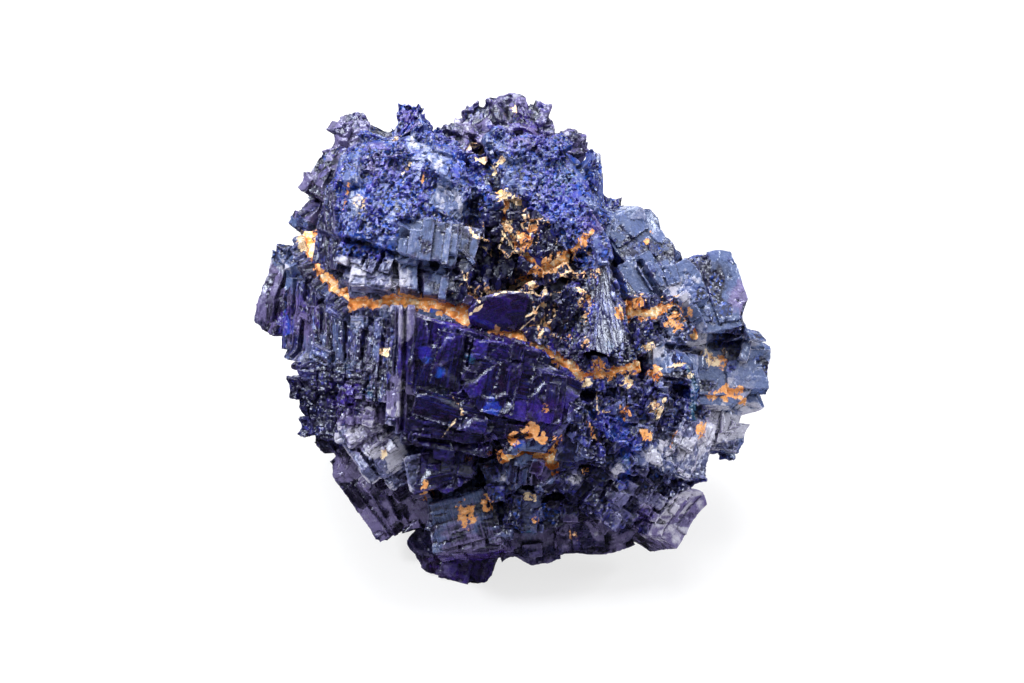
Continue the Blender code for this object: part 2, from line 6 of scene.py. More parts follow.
import bmesh
import bpy
import numpy as np
from mathutils import Matrix, Vector
from mathutils.bvhtree import BVHTree
from mathutils.kdtree import KDTree


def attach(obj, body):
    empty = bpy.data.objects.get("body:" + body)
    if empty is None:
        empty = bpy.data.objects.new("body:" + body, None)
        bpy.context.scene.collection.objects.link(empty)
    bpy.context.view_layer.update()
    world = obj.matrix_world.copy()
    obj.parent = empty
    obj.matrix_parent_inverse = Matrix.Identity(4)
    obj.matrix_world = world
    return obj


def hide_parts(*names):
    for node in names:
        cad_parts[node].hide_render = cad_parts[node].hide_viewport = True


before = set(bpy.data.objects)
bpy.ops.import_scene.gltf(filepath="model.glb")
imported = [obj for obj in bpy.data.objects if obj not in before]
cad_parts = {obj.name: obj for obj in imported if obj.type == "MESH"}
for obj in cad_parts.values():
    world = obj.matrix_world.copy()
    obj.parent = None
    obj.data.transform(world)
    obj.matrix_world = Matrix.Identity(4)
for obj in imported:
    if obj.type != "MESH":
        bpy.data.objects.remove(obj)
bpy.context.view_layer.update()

# The photographer's place: straight in front of the cluster and 35 degrees above the table, with a long
# lens. The show face is square to that line of sight, so every crystal below is placed on it in
# millimetres: across to the right, up, and out towards the viewer. What the photograph shows is named by
# its place in the photograph.
MM = 0.001
SHOW_LEAN = 35.0
SHOW_MIDDLE = Vector((0.00012, 0.00106, 0.01211))
LENS = 200.0
SENSOR = 36.0
SHOWN_WIDTH = 79.6
PHOTO_WIDTH = 1024
PHOTO_HEIGHT = 683
MIDDLE_X, MIDDLE_Y = 512, 340
PIXEL = SHOWN_WIDTH / PHOTO_WIDTH
EYE_DISTANCE = SHOWN_WIDTH * LENS / SENSOR
upright = Matrix.Rotation(math.radians(90.0 - SHOW_LEAN), 4, "X")
show_frame = Matrix.Translation(SHOW_MIDDLE) @ upright @ Matrix.Scale(MM, 4)
eye_at = Vector((0, (MIDDLE_Y - PHOTO_HEIGHT / 2) * PIXEL, EYE_DISTANCE))


def added(name, data):
    """A new object in the scene."""
    thing = bpy.data.objects.new(name, data)
    bpy.context.scene.collection.objects.link(thing)
    return thing


eye = bpy.data.cameras.new("eye")
eye.lens = LENS
eye.sensor_width = SENSOR
camera = added("eye", eye)
camera.location = show_frame @ eye_at
camera.rotation_euler = (math.radians(90.0 - SHOW_LEAN), 0.0, 0.0)
bpy.context.scene.camera = camera


# The studio: a white table, a big soft light overhead and smaller ones from the upper left and the right
# that make the crystal faces flash. The room is bright above and dark in front, so that the faces that look
# down stay deep.
class Socket:
    """A value in a material, on which Python's sums work: each adds the Math node that does it."""

    def __init__(self, tree, link):
        self.tree, self.link = tree, link

    def sum(self, kind, other, turned=False):
        node = self.tree.nodes.new("ShaderNodeMath")
        node.operation = kind
        for place, value in enumerate([other, self] if turned else [self, other]):
            plug(self.tree, node.inputs[place], value)
        return Socket(self.tree, node.outputs[0])

    def __add__(self, other):
        return self.sum("ADD", other)

    def __sub__(self, other):
        return self.sum("SUBTRACT", other)

    def __mul__(self, other):
        return self.sum("MULTIPLY", other)

    def __rsub__(self, other):
        return self.sum("SUBTRACT", other, turned=True)

    __radd__ = __add__
    __rmul__ = __mul__

    def rise(self, low, high):
        """0 under low, 1 over high, and a soft step between."""
        node = self.tree.nodes.new("ShaderNodeMapRange")
        node.interpolation_type = "SMOOTHSTEP"
        plug(self.tree, node.inputs["Value"], self)
        node.inputs["From Min"].default_value = low
        node.inputs["From Max"].default_value = high
        return Socket(self.tree, node.outputs[0])


def plug(tree, slot, value):
    """Puts a number, a colour or a link in a node's socket."""
    if isinstance(value, Socket):
        tree.links.new(value.link, slot)
    else:
        slot.default_value = value


class Finish:
    """A material, or the room's light, that is built up node by node."""

    def __init__(self, tree):
        self.tree = tree
        tree.nodes.clear()

    def node(self, kind, settings=None, out=0, **sockets):
        node = self.tree.nodes.new("ShaderNode" + kind)
        for name, value in (settings or {}).items():
            setattr(node, name, value)
        for name, value in sockets.items():
            place = int(name[1:]) if name[0] == "n" and name[1:].isdigit() else name.replace("_", " ")
            plug(self.tree, node.inputs[place], value)
        return Socket(self.tree, node.outputs[out]) if node.outputs else None

    def mix(self, share, first, second):
        return self.node("Mix", {"data_type": "RGBA"}, out=2, n0=share, n6=first, n7=second)

    def number(self, name):
        return self.node("Attribute", {"attribute_name": name}, out=2)

    def vector(self, name):
        return self.node("Attribute", {"attribute_name": name}, out=1)

    def place(self):
        return self.node("TexCoord", out=3)

    def scaled(self, vector, amounts):
        return self.node("VectorMath", {"operation": "MULTIPLY"}, n0=vector, n1=amounts)


def rgb(red, green, blue):
    """A colour as a screen shows it, 0 to 255, in the numbers that the renderer counts with."""
    counted = []
    for part in (red, green, blue):
        share = part / 255
        counted.append(share / 12.92 if share <= 0.04045 else ((share + 0.055) / 1.055) ** 2.4)
    return (*counted, 1.0)


def new_material(name):
    """A material, and the finish that builds it up."""
    made = bpy.data.materials.new(name)
    made.use_nodes = True
    return made, Finish(made.node_tree)


ROOM_ABOVE = 1.5
ROOM_FRONT = 0.03
WHITE = (1.0, 1.0, 1.0, 1.0)
room = bpy.data.worlds.new("room")
room.use_nodes = True
bpy.context.scene.world = room
light = Finish(room.node_tree)
way = light.node("TexCoord", out=0)
height = light.node("SeparateXYZ", out=2, Vector=way)
depth = light.node("SeparateXYZ", out=1, Vector=way)
glow = ROOM_FRONT + ROOM_ABOVE * (height * 0.9 + depth * 0.3).rise(0.2, 1.0)
lit = light.node("Background", Color=(0.93, 0.95, 1.0, 1.0), Strength=glow)
seen = light.node("Background", Color=WHITE, Strength=1.0)
straight = light.node("LightPath", out=0)
light.node("OutputWorld", Surface=light.node("MixShader", n0=straight, n1=lit, n2=seen))

bpy.ops.mesh.primitive_plane_add(size=4.0, location=(0, 0, -0.00002))
table = bpy.context.object
table.name = "table"
pale, paint = new_material("table")
grain = paint.node("TexNoise", Vector=paint.place(), Scale=900.0, Detail=3.0)
colour = paint.mix(grain, (0.88, 0.88, 0.89, 1), (0.92, 0.92, 0.92, 1))
shader = paint.node("BsdfPrincipled", Base_Color=colour, Roughness=0.9, Specular_IOR_Level=0.1)
bright = paint.node("Emission", Color=WHITE, Strength=1.0)
shown = paint.node("LightPath", out=0) * 0.75
paint.node("OutputMaterial", Surface=paint.node("MixShader", n0=shown, n1=shader, n2=bright))
table.data.materials.append(pale)
table.visible_glossy = False


def soft_light(name, place, size, power, colour):
    """A square soft light at a place in metres, turned to the cluster."""
    lamp = bpy.data.lights.new(name, "AREA")
    lamp.size = size
    lamp.energy = power
    lamp.color = colour
    holder = added(name, lamp)
    holder.location = place
    holder.rotation_euler = (-Vector(place)).to_track_quat("-Z", "Y").to_euler()


soft_light("overhead", (-0.04, 0.24, 0.50), 0.40, 5.0, (1.0, 0.99, 0.97))
soft_light("upper_left", (-0.36, -0.06, 0.36), 0.12, 2.0, (0.95, 0.97, 1.0))
soft_light("right", (0.44, 0.04, 0.22), 0.14, 1.6, (0.96, 0.97, 1.0))
bpy.context.scene.view_settings.view_transform = "Standard"


# The crystals: azurite, a soft blue copper mineral that grew as blocks within blocks, so that each face is
# made of ledges, ribs, cubes or sugary grains. They are one solid, modelled on a copy of the part's own,
# with hundreds of small crystals grown onto it, and cut into six closed pieces that meet inside.
def only(thing):
    """Selects one object and makes it the active one."""
    bpy.ops.object.select_all(action="DESELECT")
    thing.select_set(True)
    bpy.context.view_layer.objects.active = thing


def cluster_copy():
    """The part's own solid, its loose triangles merged, in millimetres on the show face."""
    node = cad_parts["azurite_crystals"]
    thing = added("cluster", node.data.copy())
    thing.data.transform(show_frame.inverted())
    thing.data.materials.clear()
    shape = bmesh.new()
    shape.from_mesh(thing.data)
    bmesh.ops.remove_doubles(shape, verts=shape.verts, dist=0.0005)
    shape.to_mesh(thing.data)
    shape.free()
    return thing


luck = random.Random(76)
cluster = cluster_copy()
rough_shape = bmesh.new()
rough_shape.from_mesh(cluster.data)
cluster_tree = BVHTree.FromBMesh(rough_shape)
rough_shape.free()

# Stone fills the cracks between the crystals up to a little under the surface
HEART = Vector((-0.8, -0.8, 0.0))
FAR = 60.0
CRACK_WIDTH = 1.5
CRACK_DEPTH = 0.7
RAYS_OUT = 15
bpy.ops.mesh.primitive_ico_sphere_add(subdivisions=6, radius=1.0)
filling = bpy.context.object
rays = [point.co.normalized() for point in filling.data.vertices]
hits = [cluster_tree.ray_cast(HEART + ray * FAR, -ray)[0] or HEART for ray in rays]
nearby = KDTree(len(hits))
for number, hit in enumerate(hits):
    nearby.insert(rays[number] * RAYS_OUT, number)
nearby.balance()
reach = [(hit - HEART).length for hit in hits]
for number, point in enumerate(filling.data.vertices):
    around = sorted(reach[other] for _, other, _ in nearby.find_range(rays[number] * RAYS_OUT, CRACK_WIDTH))
    point.co = HEART + rays[number] * (around[len(around) // 4] - CRACK_DEPTH)


def worn_cube(wear):
    """A plain flat-sided crystal, one millimetre across, with worn edges."""
    bpy.ops.mesh.primitive_cube_add(size=1.0)
    cube = bpy.context.object
    bpy.ops.object.mode_set(mode="EDIT")
    bpy.ops.mesh.bevel(offset=wear, segments=1)
    bpy.ops.object.mode_set(mode="OBJECT")
    return cube


def master_block():
    """A block crystal: a worn cube with a smaller ledge grown on its outer face."""
    block = worn_cube(0.07)
    for face in block.data.polygons:
        face.select = face.normal.z > 0.9
    bpy.ops.object.mode_set(mode="EDIT")
    bpy.ops.mesh.select_mode(type="FACE")
    bpy.ops.mesh.inset(thickness=0.14)
    bpy.ops.mesh.extrude_region_move(TRANSFORM_OT_translate={"value": (0.06, -0.05, 0.12)})
    bpy.ops.object.mode_set(mode="OBJECT")
    return block


def master_blade():
    """A thin leaf of crystal that narrows towards its outer edge."""
    blade = worn_cube(0.05)
    for point in blade.data.vertices:
        point.select = point.co.z > 0.3
    bpy.ops.object.mode_set(mode="EDIT")
    bpy.ops.transform.resize(value=(0.45, 0.8, 1.0))
    bpy.ops.transform.translate(value=(0.12, 0.0, 0.0))
    bpy.ops.object.mode_set(mode="OBJECT")
    return blade


def master_lump():
    """A rounded knob of grown-together crystals."""
    bpy.ops.mesh.primitive_ico_sphere_add(subdivisions=2, radius=0.5)
    lump = bpy.context.object
    bpy.ops.object.mode_set(mode="EDIT")
    bpy.ops.mesh.select_all(action="SELECT")
    bpy.ops.transform.resize(value=(1.0, 0.85, 1.1))
    bpy.ops.object.mode_set(mode="OBJECT")
    return lump


def shape_of(thing):
    """A master's points and faces, after which the master itself goes."""
    points = np.array([point.co[:] for point in thing.data.vertices])
    faces = [tuple(face.vertices) for face in thing.data.polygons]
    bpy.data.objects.remove(thing, do_unlink=True)
    return points, faces


BLOCK = shape_of(master_block())
PLANK = shape_of(worn_cube(0.05))
BLADE = shape_of(master_blade())
LUMP = shape_of(master_lump())
grown_points, grown_faces, grown_count = [], [], 0


def grow(master, at, size, across, out):
    """Grows a copy of a master at a place, its width along across and its height out of the stone."""
    global grown_count
    points, faces = master
    out = Vector(out).normalized()
    across = Vector(across)
    across = (across - out * across.dot(out)).normalized()
    along = out.cross(across)
    turned = np.array([across[:], along[:], out[:]])
    grown_points.append((points * np.array(size)) @ turned + np.array(at[:]))
    grown_faces.extend(tuple(corner + grown_count for corner in face) for face in faces)
    grown_count += len(points)


def surface_at(x, y):
    """Where the line of sight through a place of the photograph meets the stone, and how it faces there."""
    aim = Vector(((x - MIDDLE_X) * PIXEL, (MIDDLE_Y - y) * PIXEL, 0))
    hit, normal, _, _ = cluster_tree.ray_cast(eye_at, (aim - eye_at).normalized())
    return hit, normal


def grow_at(master, x, y, size, turn, face=0.4, proud=0.3, tip=(0, 0, 0)):
    """Grows a crystal on the stone that the photograph shows at (x, y), turned in its plane."""
    hit, normal = surface_at(x, y)
    if hit is None:
        return
    out = Vector((0, 0, 1)).lerp(normal, face) + Vector(tip)
    out.normalize()
    angle = math.radians(turn)
    at = hit + out * (proud - size[2] / 2)
    grow(master, at, size, (math.cos(angle), math.sin(angle), 0), out)


def grow_patch(master, count, middle, spread, wide, tall, deep, turn, stray, proud, face=0.4):
    """Grows crystals at random over an oval of the photograph."""
    for _ in range(count):
        angle = luck.uniform(0, 2 * math.pi)
        away = math.sqrt(luck.random())
        x = middle[0] + spread[0] * away * math.cos(angle)
        y = middle[1] + spread[1] * away * math.sin(angle)
        size = (luck.uniform(*wide), luck.uniform(*tall), luck.uniform(*deep))
        tip = (luck.uniform(-0.2, 0.2), luck.uniform(-0.2, 0.2), 0)
        grow_at(master, x, y, size, turn + luck.uniform(-stray, stray), face, luck.uniform(*proud), tip)


# Columns along the foot of the left head, and the pale broken ledge under them
COLUMNS = (
    (404, 248, 0.9, 2.0, 0.3), (414, 247, 0.9, 2.6, 0.5), (427, 242, 0.9, 3.7, 0.75),
    (438, 243, 1.0, 3.3, 0.5), (447, 246, 0.5, 3.8, 0.75), (454, 241, 0.6, 2.6, 0.45),
    (463, 244, 0.9, 2.6, 0.6),
)
LEDGE = (
    (372, 276, 3.2, 2.3, 0.55), (408, 281, 1.7, 1.9, 0.7), (430, 286, 1.7, 1.9, 0.5),
    (444, 290, 0.6, 1.9, 0.75), (454, 282, 0.8, 2.1, 0.5),
)
for x, y, wide, tall, proud in COLUMNS:
    grow_at(PLANK, x, y, (wide, tall, 1.8), -7, 0.2, proud, (0, 0.3, 0))
for x, y, wide, tall, proud in LEDGE:
    grow_at(PLANK, x, y, (wide, tall, 1.8), -10, 0.15, proud, (0, 0.4, 0))

# Dark leaves of crystal in the cleft, with a smooth lens of it at its foot
grow_patch(BLADE, 46, (528, 258), (62, 44), (0.4, 0.8), (0.9, 2.0), (1.0, 1.6), 35, 60, (0.2, 0.6))
for x, y, turn in ((457, 284, -52), (463, 292, -55), (468, 300, -58), (474, 288, -50), (480, 300, -40),
                   (455, 300, -60)):
    grow_at(BLADE, x, y, (2.4, 0.5, 1.4), turn, 0.2, 0.45)
for x, y, turn in ((540, 300, 32), (546, 312, 38), (537, 322, 42), (552, 326, 50), (545, 336, 36),
                   (560, 300, 48)):
    grow_at(BLADE, x, y, (2.2, 0.6, 1.4), turn, 0.2, 0.4)
lens_at, _ = surface_at(506, 312)
grow(LUMP, lens_at + Vector((0, 0, 0.8)), (6.0, 4.2, 0.9), (1, 0.14, 0), (0, -0.45, 1))

# The smooth block at the foot, and the dark one that stands on the wedge's right
grow_at(PLANK, 463, 519, (4.6, 3.7, 2.4), 15, 0.3, 0.6)
grow_at(PLANK, 603, 251, (1.3, 2.2, 2.2), 14, 0.5, 0.5)

# The pale upright strips at the left edge of the front slab, and the silvery blocks under the left flank
grow_at(PLANK, 406, 345, (1.2, 6.0, 1.6), -2, 0.2, 0.3)
grow_at(PLANK, 402, 398, (0.7, 5.4, 1.6), -2, 0.2, 0.45)
grow_at(PLANK, 360, 428, (3.0, 2.4, 1.8), 28, 0.4, 0.4, (0, 0.3, 0))
grow_at(PLANK, 389, 455, (2.7, 2.6, 1.8), 32, 0.4, 0.5, (0.1, 0.35, 0))
grow_at(PLANK, 430, 470, (3.6, 2.8, 1.8), 12, 0.4, 0.3, (0, 0.1, 0))

# Cubes in rows at the foot of the left flank
for row in range(9):
    for column in range(9):
        x, y = 296 + 9 * column + luck.uniform(-2, 2), 366 + 9 * row + luck.uniform(-2, 2)
        side = luck.uniform(0.6, 0.9)
        grow_at(BLOCK, x, y, (side, side, 0.9), -8 + luck.uniform(-5, 5), 0.7, luck.uniform(0.0, 0.32))

# Broken rows of blocks at the lower right, knobs on the crown and the left head, and blocks along the foot
grow_patch(BLOCK, 60, (622, 490), (62, 34), (0.6, 1.4), (0.6, 1.2), (0.8, 1.2), -35, 10, (0.1, 0.5))
grow_patch(BLOCK, 60, (628, 415), (56, 52), (0.5, 1.3), (0.5, 1.4), (0.8, 1.2), -28, 35, (0.05, 0.4))
grow_patch(BLOCK, 16, (520, 125), (56, 28), (1.3, 2.4), (1.2, 2.2), (1.4, 2.2), 0, 90, (0.2, 0.7), 0.6)
grow_patch(LUMP, 12, (522, 125), (56, 28), (1.2, 2.2), (1.2, 2.0), (1.2, 1.8), 0, 90, (0.2, 0.6), 0.8)
grow_patch(LUMP, 16, (492, 136), (20, 12), (1.6, 2.4), (1.6, 2.4), (3.5, 4.5), 0, 90, (1.6, 3.0), 0.2)
grow_patch(LUMP, 14, (415, 140), (70, 26), (0.8, 1.6), (0.8, 1.6), (0.8, 1.4), 0, 90, (0.0, 0.3), 0.8)
grow_patch(BLOCK, 26, (470, 490), (110, 60), (0.7, 1.8), (0.6, 1.4), (0.8, 1.4), 12, 30, (0.05, 0.35), 0.5)

# Small crystals grown square on the faces all round
CHIPS = 420
for _ in range(CHIPS):
    ray = Vector((luck.gauss(0, 1), luck.gauss(0, 1), luck.gauss(0, 1))).normalized()
    hit, normal, _, _ = cluster_tree.ray_cast(HEART + ray * FAR, -ray)
    if hit is None or (ray.z > 0.25 and luck.random() < 0.8):
        continue
    size = (luck.uniform(0.7, 2.4), luck.uniform(0.7, 1.8), luck.uniform(0.8, 1.4))
    side = Vector((0.3, 1, 0.2)).cross(normal)
    grow(BLOCK, hit + normal * (luck.uniform(0.05, 0.4) - size[2] / 2), size, side, normal + ray * 0.2)

# The seams that the clay fills: across, up, out, and half their width
SEAMS = {
    "clay_long_seam": (
        (-15.6, 8, 5.4, 0.4), (-14.4, 5, 9, 0.3), (-11.8, 2.7, 12, 0.35), (-8.7, 3.2, 12.8, 0.4),
        (-5.4, 2.6, 13.4, 0.55), (-1.2, 0.9, 13.9, 0.35), (2.8, -0.9, 14.2, 0.25), (5.2, -2.6, 14.2, 0.4),
        (9.6, -2, 13, 0.4),
    ),
    "clay_cleft": (
        (-0.8, 11.2, 11.6, 0.15), (-0.4, 8.6, 12.1, 0.15), (1, 6.6, 12.2, 0.2), (2.6, 5.6, 12.4, 0.35),
        (4.2, 6.2, 12.8, 0.3),
    ),
    "clay_right_pocket": (
        (8.8, 2.2, 12.4, 0.3), (10.6, 2, 11.6, 0.35), (12.4, 2.9, 9.6, 0.2), (13.9, 0.4, 7.8, 0.2),
    ),
    "clay_lower_pocket": (
        (-0.6, -8.6, 13.4, 0.5), (0.9, -7.9, 14.2, 0.6), (2.8, -8.5, 14, 0.6), (3.1, -10.6, 12.8, 0.5),
    ),
}
LIP = 0.55
for route in SEAMS.values():
    for start, end in zip(route, route[1:]):
        start_at, end_at = Vector(start[:3]), Vector(end[:3])
        steps = max(2, round((end_at - start_at).length / LIP))
        along = (end_at - start_at).normalized()
        side = along.cross(Vector((0, 0, 1))).normalized()
        for step in range(steps):
            share = step / steps
            at = start_at.lerp(end_at, share)
            wide = start[3] + (end[3] - start[3]) * share
            for way in (-1, 1):
                away = wide + luck.uniform(0.35, 0.6)
                rise = luck.uniform(0.1, 0.7)
                size = (luck.uniform(0.5, 1.0), luck.uniform(0.7, 1.2), 2.2)
                out = Vector((luck.uniform(-0.15, 0.15), luck.uniform(-0.15, 0.15), 1))
                grow(BLOCK, at + side * way * away + Vector((0, 0, rise - 1.1)), size, along, out)

small = bpy.data.meshes.new("small_crystals")
small.from_pydata(np.concatenate(grown_points).tolist(), [], grown_faces)
small_crystals = added("small_crystals", small)
only(cluster)
filling.select_set(True)
small_crystals.select_set(True)
bpy.ops.object.join()


# How the faces run: each point of the stone lies on a flat crystal face, and what grew on it runs along its
# longest edge. On the heads and in the cleft it runs upright instead.
flat = bmesh.new()
flat.from_mesh(cluster.data)
bmesh.ops.dissolve_limit(flat, angle_limit=math.radians(3), verts=flat.verts, edges=flat.edges)
flat.faces.ensure_lookup_table()
face_tree = BVHTree.FromBMesh(flat)
face_axes = np.zeros((len(flat.faces), 3, 3))
for number, face in enumerate(flat.faces):
    edge = max(face.edges, key=lambda line: line.calc_length())
    along = (edge.verts[1].co - edge.verts[0].co).normalized()
    if along.y < 0:
        along.negate()
    face_axes[number] = (face.normal.cross(along), along, face.normal)
flat.free()


def hashed(cells, salt):
    """A random number from 0 to 1 for each cell of a lattice, the same each run."""
    whole = np.asarray(cells, np.int64)
    mixed = (whole[:, 0] * 73856093) ^ (whole[:, 1] * 19349663) ^ (whole[:, 2] * 83492791)
    mixed = mixed ^ (salt * 2654435761)
    mixed = ((mixed ^ (mixed >> 15)) * 2246822519) & 0xFFFFFFFF
    mixed = ((mixed ^ (mixed >> 13)) * 3266489917) & 0xFFFFFFFF
    return ((mixed ^ (mixed >> 16)) & 0xFFFFFF) / float(0xFFFFFF)


def clouds(points, size, salt):
    """Soft noise from -1 to 1 with lumps of that size."""
    scaled = points / size
    corner = np.floor(scaled)
    inside = scaled - corner
    inside = inside * inside * (3 - 2 * inside)
    total = np.zeros(len(points))
    for number in range(8):
        step = np.array([(number >> axis) & 1 for axis in range(3)])
        weight = np.prod(np.where(step, inside, 1 - inside), axis=1)
        total += weight * hashed(corner + step, salt)
    return 2 * total - 1


def soft_step(values, low, high):
    share = np.clip((values - low) / (high - low), 0, 1)
    return share * share * (3 - 2 * share)


def grains(points, size, salt):
    """Loose-packed grains: the distance to the nearest and next middle, the grain's number, the offset."""
    scaled = points / np.array(size)
    corner = np.floor(scaled)
    nearest = np.full(len(points), 9.0)
    second = np.full(len(points), 9.0)
    number = np.zeros(len(points))
    offset = np.zeros_like(points)
    for x in (-1, 0, 1):
        for y in (-1, 0, 1):
            for z in (-1, 0, 1):
                cell = corner + (x, y, z)
                middle = cell + np.stack([hashed(cell, salt + axis) for axis in range(3)], axis=1)
                away = scaled - middle
                distance = np.sqrt((away**2).sum(axis=1))
                closer = distance < nearest
                second = np.where(closer, nearest, np.minimum(second, distance))
                nearest = np.where(closer, distance, nearest)
                number = np.where(closer, hashed(cell, salt + 7), number)
                offset = np.where(closer[:, None], away, offset)
    return nearest, second, number, offset


def bricks(points, lie, face_of, wide, tall, salt):
    """Ragged blocks that lie along each face's own edges in offset rows: a random number for each."""
    across = lie[:, 0] + 0.2 * wide * clouds(points, 0.8, salt + 11)
    along = lie[:, 1] + 0.2 * tall * clouds(points, 0.8, salt + 12)
    row = np.floor(across / wide)
    along = along + tall * hashed(np.stack([row, face_of, face_of], axis=1), salt + 3)
    return hashed(np.stack([row, np.floor(along / tall), face_of], axis=1), salt)


# How crystal faces grow. blocks: wide, tall and proud in millimetres. cells: the loose grains on them,
# across, along, deep, proud and tilted. smooth: how much of it stayed flat. look: blue, pale, violet,
# grainy, streaked, clay
# pale is partly the stone's own grey-blue and partly painted reflection of the bright room.
HABITS = {
    "sugar": dict(blocks=((0.8, 1.8, 0.10),),
                  cells=((0.36, 0.44, 0.36, 0.17, 2.0), (1.1, 1.3, 1.1, 0.22, 1.4)),
                  smooth=0.46, look=(0.56, 0.4, 0.34, 1.0, 0.25, 0.02)),
    "lumps": dict(blocks=(), cells=((0.6, 0.7, 0.6, 0.14, 1.6), (1.4, 1.5, 1.4, 0.25, 1.0)),
                  smooth=0.5, look=(0.16, 0.52, 0.7, 0.5, 0.1, 0.06)),
    "slabs": dict(blocks=(), cells=((1.0, 2.4, 1.0, 0.05, 1.0), (0.3, 0.5, 0.3, 0.05, 1.5)),
                  smooth=0.8, look=(0.2, 0.6, 0.12, 0.2, 0.45, 0.0)),
    "cleaved": dict(blocks=(), cells=((2.1, 2.8, 2.3, 0.3, 3.0), (0.6, 1.1, 0.6, 0.04, 2.0)),
                    smooth=0.75, look=(0.18, 0.12, 0.9, 0.3, 0.5, 0.0)),
    "strip": dict(blocks=(), cells=((1.4, 3.0, 1.4, 0.06, 1.0), (0.2, 1.2, 0.3, 0.04, 1.0)),
                  smooth=0.8, look=(0.1, 0.62, 0.7, 0.2, 0.6, 0.0)),
    "striated": dict(blocks=((0.6, 3.6, 0.14), (0.26, 1.5, 0.08)), cells=((0.3, 1.2, 0.3, 0.06, 1.5),),
                     smooth=0.4, look=(0.3, 0.4, 0.35, 0.4, 1.0, 0.0)),
    "cubes": dict(blocks=((0.75, 0.75, 0.12), (0.36, 0.36, 0.05)), cells=((0.4, 0.4, 0.4, 0.05, 1.5),),
                  smooth=0.4, look=(0.25, 0.2, 0.6, 0.4, 0.3, 0.0)),
    "plate": dict(blocks=((2.6, 2.2, 0.08),),
                  cells=((1.1, 1.1, 1.1, 0.07, 1.5), (0.35, 0.35, 0.35, 0.06, 1.5)),
                  smooth=0.66, look=(0.34, 0.62, 0.24, 0.5, 0.15, 0.12)),
    "glossy": dict(blocks=(), cells=((1.8, 1.2, 1.2, 0.05, 1.0),),
                   smooth=1.0, look=(0.0, 0.0, 1.1, 0.0, 0.3, 0.0)),
    "broken": dict(blocks=((1.1, 0.9, 0.16),), cells=((0.6, 0.9, 0.6, 0.2, 2.2), (0.3, 0.36, 0.3, 0.08, 2.0)),
                   smooth=0.4, look=(0.32, 0.34, 0.45, 0.6, 0.3, 0.1)),
    "ribbed": dict(blocks=((0.5, 3.6, 0.05),), cells=((0.28, 2.2, 0.28, 0.05, 1.2),),
                   smooth=0.75, look=(0.14, 0.16, 0.3, 0.2, 0.3, 0.0)),
    "streaked": dict(blocks=((0.9, 1.1, 0.14),), cells=((0.24, 0.7, 0.24, 0.14, 2.0),),
                     smooth=0.1, vein=(0.34, 1.0, 0.34, 0.10), look=(0.15, 0.05, 0.6, 0.7, 0.4, 0.0)),
    "boxwork": dict(blocks=(), cells=((0.6, 1.3, 0.6, 0.2, 2.8),),
                    smooth=0.1, vein=(0.95, 2.0, 0.95, 0.05), look=(0.16, 0.05, 0.4, 0.3, 0.2, 0.0)),
    "dark_slab": dict(blocks=((2.6, 2.0, 0.12),), cells=((0.8, 0.8, 0.8, 0.07, 1.5),),
                      smooth=0.7, look=(0.06, 0.38, 0.8, 0.15, 0.3, 0.0)),
    "end_slab": dict(blocks=((2.8, 2.4, 0.04),), cells=((0.5, 0.5, 0.5, 0.04, 1.5),),
                     smooth=0.8, look=(0.1, 0.6, 0.9, 0.3, 0.3, 0.0)),
    "lined": dict(blocks=(), cells=((1.8, 0.26, 0.3, 0.07, 1.2),),
                  smooth=0.7, look=(0.0, 0.5, 0.3, 0.2, 0.9, 0.0)),
    # silver: blocks whose silvery colour is partly painted reflection.
    "silver": dict(blocks=((0.6, 1.8, 0.14),), cells=((0.4, 0.7, 0.4, 0.08, 1.5),),
                   smooth=0.5, look=(0.1, 0.9, 0.5, 0.5, 0.5, 0.02)),
}
HABIT_LOOKS = ("blue", "pale", "violet", "grainy", "streak", "clay")

# Cells under COARSE wide flatten most where the face is smooth, and those over BROAD fade out within BORDER
# of their own edges. What grew as the habits of HABIT_TURNS runs upright, turned by so many degrees.
COARSE = 0.8
BROAD = 2.0
BORDER = 0.12
HABIT_TURNS = {"sugar": -8.0, "boxwork": -8.0, "lumps": -8.0, "lined": 15.0}

